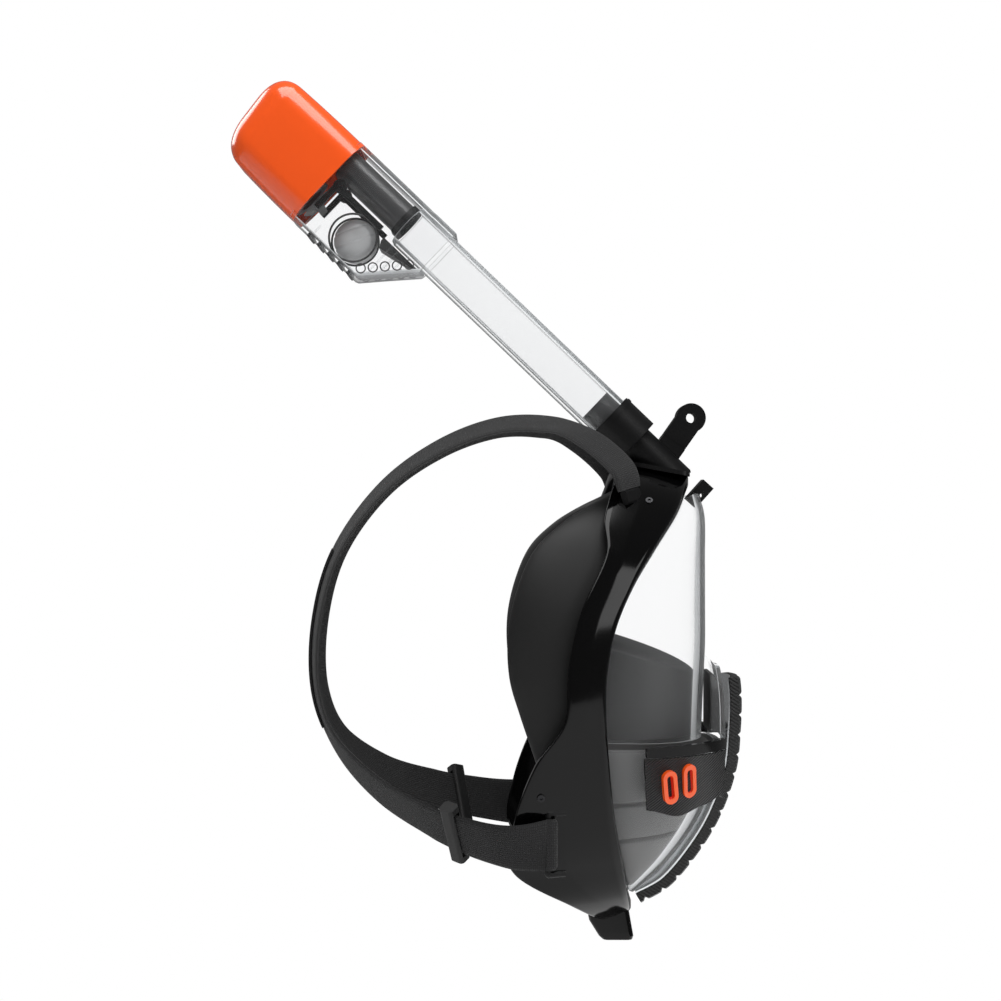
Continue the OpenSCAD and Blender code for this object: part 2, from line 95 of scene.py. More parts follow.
# The snorkel tube, as (front to back, side to side), and its low and high end along its axis.
TUBE_OUTSIDE = (23, 40)
TUBE_INSIDE = (19.4, 36.4)
TUBE_LOW = -136.9
TUBE_HIGH = 22
# The dry top along the same axis: the clear housing's top, and the cap's rim and crown.
HOUSING_TOP = 66.8
CAP_RIM = 64.6
CAP_CROWN = 124
# The vent slats at the dry top's back: how many, the lowest one and their spacing.
VENTS = 5
VENT_LOW = 25.6
VENT_PITCH = 6.9
# How far the studio floor lies below the object, in metres.
FLOOR_DROP = 0.17


# ---------------------------------------------------------------- curves and grids

def bend(a, b, c, d, t):
    """Smooth cubic from b to c: each end leaves along the line between its neighbours."""
    return 0.5 * (2 * b + (c - a) * t + (2 * a - 5 * b + 4 * c - d) * t ** 2
                  + (3 * b - a - 3 * c + d) * t ** 3)


def along(points, s):
    """Point at station s of an open smooth curve through points, for an array of stations."""
    p = np.asarray(points, float)
    if p.ndim == 1:
        p = p[:, None]
    n = len(p) - 1
    s = np.asarray(s, float)
    i = np.clip(np.floor(s).astype(int), 0, n - 1)
    t = (s - i)[..., None]
    return bend(p[np.maximum(i - 1, 0)], p[i], p[i + 1], p[np.minimum(i + 2, n)], t)


def round_ring(half, s):
    """Point at station s of the closed curve: the left half and its mirror image on the right."""
    h = np.asarray(half, float)
    ring = np.vstack([h, h[-2:0:-1] * [1, -1, 1]])
    n = len(ring)
    i = np.floor(s).astype(int) % n
    t = (s - np.floor(s))[..., None]
    return bend(ring[(i - 1) % n], ring[i], ring[(i + 1) % n], ring[(i + 2) % n], t)


def inward(p):
    """Unit vector from a point towards the middle of the mask's front-view oval."""
    v = np.stack([np.zeros(p.shape[:-1]), -p[..., 1] / 6400, -(p[..., 2] + 10) / 13200], -1)
    return v / np.linalg.norm(v, axis=-1, keepdims=True)


def unit(v):
    """Each vector divided by its length."""
    return v / np.maximum(np.linalg.norm(v, axis=-1, keepdims=True), 1e-12)


def walked(line):
    """Distance walked along a line of points, from nought at its start."""
    return np.concatenate([[0], np.cumsum(np.linalg.norm(np.diff(line, axis=0), axis=1))])


def smooth_section(corners, count):
    """Closed smooth section of count points through the corner points, for a stack of sections."""
    c = np.asarray(corners, float)
    n = c.shape[1]
    s = np.linspace(0, n, count, endpoint=False)
    i = np.floor(s).astype(int)
    t = (s - i)[None, :, None]
    return bend(c[:, (i - 1) % n], c[:, i % n], c[:, (i + 1) % n], c[:, (i + 2) % n], t)


def rounded_section(corners, r, count=5):
    """Closed section with each corner cut back by r and turned through an arc of count points."""
    c = np.asarray(corners, float)
    before = np.roll(c, 1, axis=1)
    after = np.roll(c, -1, axis=1)
    a, b = (c + unit(to) * np.minimum(r, 0.45 * np.linalg.norm(to, axis=-1, keepdims=True))
            for to in (before - c, after - c))
    t = np.linspace(0, 1, count)[None, None, :, None]
    arc = (1 - t) ** 2 * a[:, :, None] + 2 * t * (1 - t) * c[:, :, None] + t ** 2 * b[:, :, None]
    return arc.reshape(c.shape[0], -1, 3)


def snorkel_to_mask(p):
    """Turn points from the snorkel's axes (front, left, up the tube) into the mask's."""
    p = np.asarray(p, float)
    c, s = math.cos(LEAN), math.sin(LEAN)
    x = SNORKEL_AT[0] + p[..., 0] * c - p[..., 2] * s
    z = SNORKEL_AT[2] + p[..., 0] * s + p[..., 2] * c
    return np.stack([x, p[..., 1], z], -1)


def quads(n, m, close_n, close_m):
    """Four corner numbers of each cell of an n by m grid, closed either way or not."""
    i, j = np.meshgrid(np.arange(n if close_n else n - 1), np.arange(m if close_m else m - 1),
                       indexing="ij")
    i, j = i.ravel(), j.ravel()
    k, l = (i + 1) % n, (j + 1) % m
    return np.stack([i * m + j, k * m + j, k * m + l, i * m + l], -1)


def signed_volume(verts, faces):
    """Six times the volume inside the faces, negative where they point inwards."""
    a, b, c, d = (verts[faces[:, k]] for k in range(4))
    return np.einsum("ij,ij->", a, np.cross(b, c)) + np.einsum("ij,ij->", a, np.cross(c, d))


def mesh_piece(name, verts, faces, look, smooth=35.0, uv=None):
    """Put points in millimetres and faces into a new object at the origin."""
    mesh = bpy.data.meshes.new(name)
    faces = faces if isinstance(faces, list) else faces.tolist()
    mesh.from_pydata((np.asarray(verts) * MM).tolist(), [], faces)
    if uv is not None:
        layer = mesh.uv_layers.new(name="along_across")
        index = np.empty(len(mesh.loops), dtype=np.int32)
        mesh.loops.foreach_get("vertex_index", index)
        layer.data.foreach_set("uv", np.asarray(uv)[index].ravel().astype(np.float32))
    mesh.materials.append(finish(look))
    mesh.polygons.foreach_set("use_smooth", np.ones(len(mesh.polygons), dtype=bool))
    mesh.validate()
    mesh.update()
    if smooth < 180:
        mesh.set_sharp_from_angle(angle=math.radians(smooth))
    piece = bpy.data.objects.new(name, mesh)
    bpy.context.scene.collection.objects.link(piece)
    return piece


def ring_piece(name, sections, look, smooth=35.0):
    """A closed ring: sections[i][j], joined round both ways and turned to point outwards."""
    n, m = sections.shape[:2]
    verts = sections.reshape(-1, 3)
    faces = quads(n, m, True, True)
    if signed_volume(verts, faces) < 0:
        faces = faces[:, ::-1]
    return mesh_piece(name, verts, faces, look, smooth)


def wall_piece(name, outer, inner, look, smooth=35.0, uv=None):
    """A wall between two open grids of one size, closed round its edge."""
    n, m = outer.shape[:2]
    verts = np.concatenate([outer, inner[:, ::-1]], axis=1).reshape(-1, 3)
    w = 2 * m
    sides = quads(n, w, False, True)
    j = np.arange(m - 1)
    ends = np.concatenate([np.stack([k + j, k + j + 1, k + w - 2 - j, k + w - 1 - j], -1)[:, ::step]
                           for k, step in ((0, 1), ((n - 1) * w, -1))])
    faces = np.concatenate([sides, ends])
    if signed_volume(verts, faces) < 0:
        faces = faces[:, ::-1]
    if uv is not None:
        uv = np.concatenate([uv, uv[:, ::-1]], axis=1).reshape(-1, 2)
    return mesh_piece(name, verts, faces, look, smooth, uv)


def sweep_piece(name, sections, look, smooth=35.0, uv=None):
    """A run of closed sections with a flat cap at each end, fanned from the section's middle."""
    n, m = sections.shape[:2]
    verts = np.vstack([sections.reshape(-1, 3), sections[0].mean(0), sections[-1].mean(0)])
    sides = quads(n, m, False, True)
    j = np.arange(m)
    k = (j + 1) % m
    first = np.stack([j, k, np.full(m, n * m)], -1)
    last = np.stack([(n - 1) * m + k, (n - 1) * m + j, np.full(m, n * m + 1)], -1)
    faces = sides.tolist() + first.tolist() + last.tolist()
    if signed_volume(verts, sides) < 0:
        faces = [f[::-1] for f in faces]
    if uv is not None:
        uv = np.vstack([uv.reshape(-1, 2), uv[0].mean(0), uv[-1].mean(0)])
    return mesh_piece(name, verts, faces, look, smooth, uv)


def bulge_rows(mid, edges, inset, wall, rows, steps, square=0.85, low=-90.0, high=90.0, s=None):
    """A bulging shell. Each row starts at a station of the frame's front edge, set in by inset.
    Across it, the half width goes with sine and the reach forward with cosine, both to a power."""
    s = np.linspace(0, 1, rows) if s is None else s
    st = s * (len(mid) - 1)
    e = along(FRONT, along(edges, st)[:, 0])
    m = along(mid, st)
    e = (e + inward(e) * inset)[:, None, :]
    a = np.radians(np.linspace(low, high, steps))[None, :]
    f = np.clip(np.cos(a), 0, 1) ** square
    x = e[..., 0] + (m[:, None, 0] - wall - e[..., 0]) * f
    y = (e[..., 1] - wall) * np.sign(np.sin(a)) * np.abs(np.sin(a)) ** square
    z = e[..., 2] + (m[:, None, 1] - e[..., 2]) * f
    return np.stack([x, y, z], -1)


def stadium(depth, width, count=24):
    """Outline of a slot with round ends, depth front to back and width side to side."""
    r = depth / 2
    a = np.linspace(0, math.pi, count)
    right = np.stack([r * np.cos(a), (width / 2 - r) + r * np.sin(a)], -1)
    return np.vstack([right, -right])


def upright(outlines, heights):
    """Level sections: each outline (forward, left) at its height."""
    return np.array([np.column_stack([o, np.full(len(o), h)]) for o, h in zip(outlines, heights)])


def slot_tube(name, outer, inner, low, high, soft, look):
    """A slot-shaped tube up the snorkel's axis: up the outside, over the rim and down the inside.
    Each rim's two corners turn through a quarter circle of radius soft."""
    a = np.radians([0, 45, 90])
    cut, rise = soft * (1 - np.sin(a)), soft * (1 - np.cos(a))
    outside, inside = (np.array(size)[None] + 2 * sign * cut[:, None]
                       for size, sign in ((outer, -1), (inner, 1)))
    sizes = np.concatenate([outside, outside[::-1], inside, inside[::-1]])
    heights = np.concatenate([low + rise, (high - rise)[::-1], high - rise, (low + rise)[::-1]])
    rows = upright([stadium(depth, width) for depth, width in sizes], heights)
    return ring_piece(name, snorkel_to_mask(rows), look)


# ---------------------------------------------------------------- materials

def new_material(name):
    """An empty material: itself, its nodes and its links."""
    material = bpy.data.materials.new(name)
    material.use_nodes = True
    tree = material.node_tree
    tree.nodes.clear()
    return material, tree.nodes, tree.links


def lay_out(nodes, frames):
    """Stand the nodes in a zigzag row in the order they were made, and frame them by effect."""
    for k, node in enumerate(list(nodes)):
        node.location = (220 * k - 900, 0 if k % 2 else -260)
    for label, members in frames.items():
        group = nodes.new("NodeFrame")
        group.label = label
        for node in members:
            node.parent = group


def shade(colour, times, lift=0.0):
    """A colour multiplied, lifted and cut at one, with its alpha."""
    return (*[min(1.0, c * times + lift) for c in colour], 1)


def moulded_plastic(name, colour, rough, coat, texture, bump):
    """Moulded plastic: a fine mould grain in the surface and slightly uneven gloss."""
    material, nodes, links = new_material(name)
    place = nodes.new("ShaderNodeTexCoord")
    place.label = "Place on the piece"
    grain = nodes.new("ShaderNodeTexNoise")
    grain.label = "Mould grain"
    handling = nodes.new("ShaderNodeTexNoise")
    handling.label = "Handled patches"
    gloss = nodes.new("ShaderNodeMapRange")
    gloss.label = "Gloss, worn to fresh"
    tone = nodes.new("ShaderNodeMix")
    tone.label = "Pigment, thin to full"
    height = nodes.new("ShaderNodeBump")
    height.label = "Grain height"
    shell = nodes.new("ShaderNodeBsdfPrincipled")
    shell.label = "Moulded shell"
    out = nodes.new("ShaderNodeOutputMaterial")
    lay_out(nodes, {"Grain": (grain, height), "Gloss": (handling, gloss), "Colour": (tone,)})
    grain.inputs["Scale"].default_value = texture
    grain.inputs["Detail"].default_value = 3.0
    handling.inputs["Scale"].default_value = 28.0
    handling.inputs["Detail"].default_value = 4.0
    gloss.inputs["To Min"].default_value = rough * 0.8
    gloss.inputs["To Max"].default_value = rough * 1.25
    tone.data_type = "RGBA"
    tone.inputs["A"].default_value = shade(colour, 0.9)
    tone.inputs["B"].default_value = shade(colour, 1.06)
    height.inputs["Strength"].default_value = bump
    height.inputs["Distance"].default_value = 0.0002
    shell.inputs["Coat Weight"].default_value = coat
    shell.inputs["Coat Roughness"].default_value = 0.04
    shell.inputs["IOR"].default_value = 1.5
    shell.inputs["Specular IOR Level"].default_value = 0.5 if coat > 0.15 else 0.24
    links.new(place.outputs["Object"], grain.inputs["Vector"])
    links.new(place.outputs["Object"], handling.inputs["Vector"])
    links.new(handling.outputs["Fac"], gloss.inputs["Value"])
    links.new(handling.outputs["Fac"], tone.inputs["Factor"])
    links.new(gloss.outputs["Result"], shell.inputs["Roughness"])
    links.new(tone.outputs["Result"], shell.inputs["Base Color"])
    links.new(grain.outputs["Fac"], height.inputs["Height"])
    links.new(height.outputs["Normal"], shell.inputs["Normal"])
    links.new(shell.outputs["BSDF"], out.inputs["Surface"])
    return material


def clear_plastic(name, tint, edge, shine, haze):
    """Clear polycarbonate: it lets light through, with painted shade that darkens it where seen edge-on, and
    a polished gloss.
    """
    material, nodes, links = new_material(name)
    place = nodes.new("ShaderNodeTexCoord")
    place.label = "Place on the piece"
    flow = nodes.new("ShaderNodeTexNoise")
    flow.label = "Flow marks"
    ripple = nodes.new("ShaderNodeBump")
    ripple.label = "Faint ripple"
    rim = nodes.new("ShaderNodeLayerWeight")
    rim.label = "Seen edge-on"
    depth = nodes.new("ShaderNodeMath")
    depth.label = "Sharpness of painted edge shade"
    tone = nodes.new("ShaderNodeMix")
    tone.label = "Tint, clear to painted edge shade"
    through = nodes.new("ShaderNodeBsdfTransparent")
    through.label = "Light through"
    gloss = nodes.new("ShaderNodeBsdfPrincipled")
    gloss.label = "Polished face"
    share = nodes.new("ShaderNodeFresnel")
    share.label = "Share reflected"
    body = nodes.new("ShaderNodeMath")
    body.label = "Reflection and haze"
    mixer = nodes.new("ShaderNodeMixShader")
    mixer.label = "Clear wall"
    out = nodes.new("ShaderNodeOutputMaterial")
    lay_out(nodes, {"Painted edge shade": (rim, depth, tone, through), "Gloss": (share, body, gloss),
                    "Surface": (flow, ripple)})
    flow.inputs["Scale"].default_value = 35.0
    ripple.inputs["Strength"].default_value = 0.04
    ripple.inputs["Distance"].default_value = 0.0004
    rim.inputs["Blend"].default_value = 0.5
    depth.operation = "POWER"
    depth.inputs[1].default_value = edge
    tone.data_type = "RGBA"
    # Painted shade: where the wall is seen edge-on, the colour let through falls to near black, darkening the
    # silhouettes.
    tone.inputs["A"].default_value = shade(tint, 1)
    tone.inputs["B"].default_value = shade(tint, 0.06)
    gloss.inputs["Base Color"].default_value = (0.85, 0.87, 0.88, 1)
    gloss.inputs["Roughness"].default_value = 0.05
    share.inputs["IOR"].default_value = shine
    body.operation = "ADD"
    body.use_clamp = True
    body.inputs[1].default_value = haze
    links.new(place.outputs["Object"], flow.inputs["Vector"])
    links.new(flow.outputs["Fac"], ripple.inputs["Height"])
    links.new(ripple.outputs["Normal"], gloss.inputs["Normal"])
    links.new(rim.outputs["Facing"], depth.inputs[0])
    links.new(depth.outputs["Value"], tone.inputs["Factor"])
    links.new(tone.outputs["Result"], through.inputs["Color"])
    links.new(share.outputs["Fac"], body.inputs[0])
    links.new(body.outputs["Value"], mixer.inputs["Fac"])
    links.new(through.outputs["BSDF"], mixer.inputs[1])
    links.new(gloss.outputs["BSDF"], mixer.inputs[2])
    links.new(mixer.outputs["Shader"], out.inputs["Surface"])
    return material


def soft_silicone(name, colour, rough, dust):
    """Matte silicone rubber: a fine satin skin, a faint bloom of dust and a soft edge sheen."""
    material, nodes, links = new_material(name)
    place = nodes.new("ShaderNodeTexCoord")
    place.label = "Place on the piece"
    skin = nodes.new("ShaderNodeTexNoise")
    skin.label = "Satin skin"
    bloom = nodes.new("ShaderNodeTexNoise")
    bloom.label = "Dust bloom"
    amount = nodes.new("ShaderNodeMath")
    amount.label = "Amount of bloom"
    tone = nodes.new("ShaderNodeMix")
    tone.label = "Rubber to bloom"
    height = nodes.new("ShaderNodeBump")
    height.label = "Skin height"
    rubber = nodes.new("ShaderNodeBsdfPrincipled")
    rubber.label = "Silicone"
    out = nodes.new("ShaderNodeOutputMaterial")
    lay_out(nodes, {"Skin": (skin, height), "Bloom": (bloom, amount, tone)})
    skin.inputs["Scale"].default_value = 1400.0
    skin.inputs["Detail"].default_value = 2.0
    bloom.inputs["Scale"].default_value = 18.0
    bloom.inputs["Detail"].default_value = 5.0
    amount.operation = "MULTIPLY"
    amount.inputs[1].default_value = dust
    tone.data_type = "RGBA"
    tone.inputs["A"].default_value = shade(colour, 1)
    tone.inputs["B"].default_value = shade(colour, 1.5, 0.003)
    height.inputs["Strength"].default_value = 0.12
    height.inputs["Distance"].default_value = 0.0001
    rubber.inputs["Roughness"].default_value = rough
    rubber.inputs["Sheen Weight"].default_value = 0.04
    rubber.inputs["Sheen Roughness"].default_value = 0.5
    rubber.inputs["Specular IOR Level"].default_value = 0.4
    links.new(place.outputs["Object"], skin.inputs["Vector"])
    links.new(place.outputs["Object"], bloom.inputs["Vector"])
    links.new(bloom.outputs["Fac"], amount.inputs[0])
    links.new(amount.outputs["Value"], tone.inputs["Factor"])
    links.new(tone.outputs["Result"], rubber.inputs["Base Color"])
    links.new(skin.outputs["Fac"], height.inputs["Height"])
    links.new(height.outputs["Normal"], rubber.inputs["Normal"])
    links.new(rubber.outputs["BSDF"], out.inputs["Surface"])
    return material


def woven_elastic(name, colour):
    """Black knitted elastic: ribs along the strap, picks across it, and loose fibre between them.
    The weave follows the piece's own map, whose numbers are metres along and across the strap."""
    material, nodes, links = new_material(name)
    place = nodes.new("ShaderNodeUVMap")
    place.label = "Metres along and across"
    place.uv_map = "along_across"
    ribs = nodes.new("ShaderNodeTexWave")
    ribs.label = "Ribs along the strap"
    picks = nodes.new("ShaderNodeTexWave")
    picks.label = "Picks across the strap"
    weave = nodes.new("ShaderNodeMath")
    weave.label = "Rib over pick"
    fibre = nodes.new("ShaderNodeTexNoise")
    fibre.label = "Loose fibre"
    pile = nodes.new("ShaderNodeMath")
    pile.label = "Weave with fibre"
    tone = nodes.new("ShaderNodeMix")
    tone.label = "Yarn, shaded to lit"
    height = nodes.new("ShaderNodeBump")
    height.label = "Yarn height"
    cloth = nodes.new("ShaderNodeBsdfPrincipled")
    cloth.label = "Elastic webbing"
    out = nodes.new("ShaderNodeOutputMaterial")
    lay_out(nodes, {"Weave": (ribs, picks, weave), "Fibre": (fibre, pile), "Yarn": (tone, height)})
    ribs.bands_direction = "Y"
    ribs.inputs["Scale"].default_value = 260.0
    ribs.inputs["Distortion"].default_value = 0.6
    ribs.inputs["Detail Scale"].default_value = 400.0
    picks.bands_direction = "X"
    picks.inputs["Scale"].default_value = 330.0
    picks.inputs["Distortion"].default_value = 0.8
    picks.inputs["Detail Scale"].default_value = 500.0
    weave.operation = "MULTIPLY"
    fibre.inputs["Scale"].default_value = 1500.0
    fibre.inputs["Detail"].default_value = 3.0
    pile.operation = "MULTIPLY_ADD"
    pile.inputs[1].default_value = 0.55
    tone.data_type = "RGBA"
    tone.inputs["A"].default_value = shade(colour, 0.45)
    tone.inputs["B"].default_value = shade(colour, 2.4)
    height.inputs["Strength"].default_value = 0.7
    height.inputs["Distance"].default_value = 0.0004
    cloth.inputs["Roughness"].default_value = 0.85
    cloth.inputs["Sheen Weight"].default_value = 0.08
    cloth.inputs["Sheen Roughness"].default_value = 0.4
    for pattern in (ribs, picks, fibre):
        links.new(place.outputs["UV"], pattern.inputs["Vector"])
    links.new(ribs.outputs["Fac"], weave.inputs[0])
    links.new(picks.outputs["Fac"], weave.inputs[1])
    links.new(fibre.outputs["Fac"], pile.inputs[0])
    links.new(weave.outputs["Value"], pile.inputs[2])
    links.new(pile.outputs["Value"], tone.inputs["Factor"])
    links.new(pile.outputs["Value"], height.inputs["Height"])
    links.new(tone.outputs["Result"], cloth.inputs["Base Color"])
    links.new(height.outputs["Normal"], cloth.inputs["Normal"])
    links.new(cloth.outputs["BSDF"], out.inputs["Surface"])
    return material


def ridged_plastic(name, colour, pitch, turn):
    """Matte black plastic with fine moulded diagonal ridges, pitch metres apart: painted shade in their
    valleys and painted light on their crests.
    """
    material, nodes, links = new_material(name)
    place = nodes.new("ShaderNodeTexCoord")
    place.label = "Place on the piece"
    slope = nodes.new("ShaderNodeMapping")
    slope.label = "Slope of the ridges"
    ridges = nodes.new("ShaderNodeTexWave")
    ridges.label = "Fine ridges"
    tone = nodes.new("ShaderNodeMix")
    tone.label = "Painted shade in valleys to painted light on crests"
    height = nodes.new("ShaderNodeBump")
    height.label = "Ridge height"
    grip = nodes.new("ShaderNodeBsdfPrincipled")
    grip.label = "Ridged plastic"
    out = nodes.new("ShaderNodeOutputMaterial")
    lay_out(nodes, {"Ridges": (slope, ridges, tone, height)})
    slope.inputs["Rotation"].default_value = (0, math.radians(turn), 0)
    ridges.bands_direction = "Z"
    ridges.inputs["Scale"].default_value = 0.314 / pitch
    tone.data_type = "RGBA"
    # Painted shade in the valleys and painted light on the crests: the ridge pattern sets the colour from
    # darker to lighter.
    tone.inputs["A"].default_value = shade(colour, 0.4)
    tone.inputs["B"].default_value = shade(colour, 2.2)
    height.inputs["Strength"].default_value = 0.8
    height.inputs["Distance"].default_value = 0.0005
    grip.inputs["Roughness"].default_value = 0.42
    links.new(place.outputs["Object"], slope.inputs["Vector"])
    links.new(slope.outputs["Vector"], ridges.inputs["Vector"])
    links.new(ridges.outputs["Fac"], tone.inputs["Factor"])
    links.new(ridges.outputs["Fac"], height.inputs["Height"])
    links.new(tone.outputs["Result"], grip.inputs["Base Color"])
    links.new(height.outputs["Normal"], grip.inputs["Normal"])
    links.new(grip.outputs["BSDF"], out.inputs["Surface"])
    return material


def plated_metal(name, colour, rough):
    """Bright metal with fine rubbed streaks."""
    material, nodes, links = new_material(name)
    place = nodes.new("ShaderNodeTexCoord")
    place.label = "Place on the piece"
    streaks = nodes.new("ShaderNodeTexNoise")
    streaks.label = "Rubbed streaks"
    gloss = nodes.new("ShaderNodeMapRange")
    gloss.label = "Polish, bright to dull"
    metal = nodes.new("ShaderNodeBsdfPrincipled")
    metal.label = "Metal"
    out = nodes.new("ShaderNodeOutputMaterial")
    lay_out(nodes, {"Polish": (streaks, gloss)})
    streaks.inputs["Scale"].default_value = 300.0
    gloss.inputs["To Min"].default_value = rough * 0.7
    gloss.inputs["To Max"].default_value = rough * 1.4
    metal.inputs["Base Color"].default_value = shade(colour, 1)
    metal.inputs["Metallic"].default_value = 1.0
    links.new(place.outputs["Object"], streaks.inputs["Vector"])
    links.new(streaks.outputs["Fac"], gloss.inputs["Value"])
    links.new(gloss.outputs["Result"], metal.inputs["Roughness"])
    links.new(metal.outputs["BSDF"], out.inputs["Surface"])
    return material


def pale_floor(name):
    """Pale matte floor with a very faint mottle."""
    material, nodes, links = new_material(name)
    mottle = nodes.new("ShaderNodeTexNoise")
    mottle.label = "Faint mottle"
    tone = nodes.new("ShaderNodeMix")
    tone.label = "Pale to paler"
    floor = nodes.new("ShaderNodeBsdfPrincipled")
    floor.label = "Matte floor"
    out = nodes.new("ShaderNodeOutputMaterial")
    lay_out(nodes, {"Mottle": (mottle, tone)})
    mottle.inputs["Scale"].default_value = 2.0
    tone.data_type = "RGBA"
    tone.inputs["A"].default_value = (0.94, 0.94, 0.94, 1)
    tone.inputs["B"].default_value = (0.97, 0.97, 0.97, 1)
    floor.inputs["Roughness"].default_value = 0.9
    floor.inputs["Emission Color"].default_value = (1, 1, 1, 1)
    floor.inputs["Emission Strength"].default_value = 0.08
    links.new(mottle.outputs["Fac"], tone.inputs["Factor"])
    links.new(tone.outputs["Result"], floor.inputs["Base Color"])
    links.new(floor.outputs["BSDF"], out.inputs["Surface"])
    return material


def light_sky(scene):
    """A white studio all round, dimmer for the light that falls on the object than for the backdrop."""
    world = bpy.data.worlds.new("studio")
    scene.world = world
    world.use_nodes = True
    nodes, links = world.node_tree.nodes, world.node_tree.links
    nodes.clear()
    path = nodes.new("ShaderNodeLightPath")
    path.label = "Seen directly"
    level = nodes.new("ShaderNodeMapRange")
    level.label = "Studio level to backdrop level"
    sky = nodes.new("ShaderNodeBackground")
    sky.label = "White studio"
    out = nodes.new("ShaderNodeOutputWorld")
    lay_out(nodes, {"Level": (path, level)})
    level.inputs["To Min"].default_value = 0.16
    level.inputs["To Max"].default_value = 1.0
    sky.inputs["Color"].default_value = (1, 1, 1, 1)
    links.new(path.outputs["Is Camera Ray"], level.inputs["Value"])
    links.new(level.outputs["Result"], sky.inputs["Strength"])
    links.new(sky.outputs["Background"], out.inputs["Surface"])


FINISHES = {}


def finish(name):
    """The named finish, made once from the colours in the panel."""
    if name not in FINISHES:
        c = bpy.context.scene.snorkel_colours
        make, *values = {
            "gloss_black": (moulded_plastic, c.shell_black, 0.1, 0.0, 900.0, 0.02),
            "satin_black": (moulded_plastic, c.trim_black, 0.38, 0.0, 1100.0, 0.3),
            "dark_grey": (moulded_plastic, c.inner_grey, 0.3, 0.2, 500.0, 0.02),
            "orange": (moulded_plastic, c.orange, 0.22, 0.5, 700.0, 0.03),
            # Darker orange of the vent lips: painted shade inside the vent slots.
            "deep_orange": (moulded_plastic, (0.75, 0.02, 0.002), 0.4, 0.0, 700.0, 0.03),
            "ball_grey": (moulded_plastic, (0.55, 0.555, 0.56), 0.4, 0.0, 700.0, 0.05),
            "clear": (clear_plastic, (0.992, 0.993, 0.994), 34.0, 1.035, 0.012),
            "clear_tube": (clear_plastic, (0.988, 0.989, 0.99), 14.0, 1.08, 0.012),
            "clear_smoke": (clear_plastic, (0.985, 0.986, 0.988), 8.0, 1.14, 0.012),
            "black_silicone": (soft_silicone, c.skirt_black, 0.6, 0.2),
            "grey_silicone": (soft_silicone, c.pocket_grey, 0.55, 0.25),
            "pale_silicone": (soft_silicone, (0.16, 0.16, 0.16), 0.5, 0.3),
            "webbing": (woven_elastic, c.strap_black),
            "ridged": (ridged_plastic, c.trim_black, 0.0011, 38.0),
            "ridged_cover": (ridged_plastic, c.trim_black, 0.0016, -32.0),
            "chrome": (plated_metal, (0.8, 0.82, 0.84), 0.12),
            "steel": (plated_metal, (0.035, 0.035, 0.037), 0.4),
            "studio_floor": (pale_floor,),
        }[name]
        FINISHES[name] = make(name, *values)
    return FINISHES[name]


# ---------------------------------------------------------------- shapes of this mask

def frame_sections(steps):
    """Front and rear edge joined by a bowed band, with a small bevel inside each edge."""
    s = np.linspace(0, 24, steps, endpoint=False)
    a, b = round_ring(FRONT, s), round_ring(REAR, s)
    out = -inward((a + b) / 2)
    wall = bpy.context.scene.snorkel_sizes.frame_wall / MM

    def across(t, lift):
        return a + (b - a) * t + out * lift
    corners = np.stack([a, across(0.07, 1.1), across(0.5, 1.5), across(0.93, 0.9), b,
                        across(1.0, -wall), across(0.5, -wall), across(0.0, -wall)], 1)
    return rounded_section(corners, 1.1)


def skirt_sections(steps):
    """From inside the frame, out over a soft belly to the rim, and back in to the sealing lip."""
    s = np.linspace(0, 24, steps, endpoint=False)
    a, b, e = round_ring(FRONT, s), round_ring(REAR, s), round_ring(RIM, s)
    n = inward((a + b) / 2)
    t = bpy.context.scene.snorkel_sizes.skirt_wall / MM
    top = a + (b - a) * 0.55 + n * 6.1
    belly = top + (e - top) * 0.55 - n * 4
    lip = e + n * 13 + [9, 0, 0]
    corners = np.stack([top, top + (belly - top) * 0.5 - n * 1.2, belly,
                        belly + (e - belly) * 0.55 - n * 1.2, e, e + n * 5 + [1.5, 0, 0],
                        lip, lip + [t, 0, 0], e + n * 5 + [1.5 + t, 0, 0],
                        e + [t + 1, 0, 0] + n * 2.6, belly + n * t, top + n * t], 1)
    return smooth_section(corners, 60)


def side_panel(low, high, start, end, off, wall, rows, steps):
    """A strip that stands off the chin: rows between two stations of the frame's front edge."""
    s = np.linspace(high, low, rows)
    e = along(FRONT, s)[:, None, :]
    a = np.radians(np.linspace(start, end, steps))[None, :]
    c, q = np.cos(a) ** 0.85, np.sin(a) ** 0.85
    x = e[..., 0] + (87 + off - wall - e[..., 0]) * c
    y = (e[..., 1] - 3 + off - wall) * q
    z = e[..., 2] + (-29 - 25 * (s[:, None] - 7.9) / 0.9 - e[..., 2]) * c
    return np.stack([x, y, z], -1)


def vent_lip(name, k, side):
    """A thin lip inside an orange vent ring, round the slot's edge, in a darker orange that is painted shade
    inside the slot.
    """
    wide, tight = stadium(3.7, 12.7), stadium(2.0, 11.0)
    p = upright([wide, wide, tight, tight], (-0.7, 1.3, 0.2, -0.7))

    def spin(q, axis, degrees):
        c, n = math.cos(math.radians(degrees)), math.sin(math.radians(degrees))
        i, j = ((1, 2), (2, 0), (0, 1))[axis]
        r = q.copy()
        r[..., i] = q[..., i] * c - q[..., j] * n
        r[..., j] = q[..., i] * n + q[..., j] * c
        return r
    for axis, degrees in ((2, -12), (0, 14), (0, 90), (2, 158 - 10 * k)):
        p = spin(p, axis, degrees)
    p = p + np.array([56.5 + 9.5 * k, 65.5 - 5 * k, -46.6 + 2.5 * k])
    return ring_piece(name, on_side(p, side), "deep_orange")


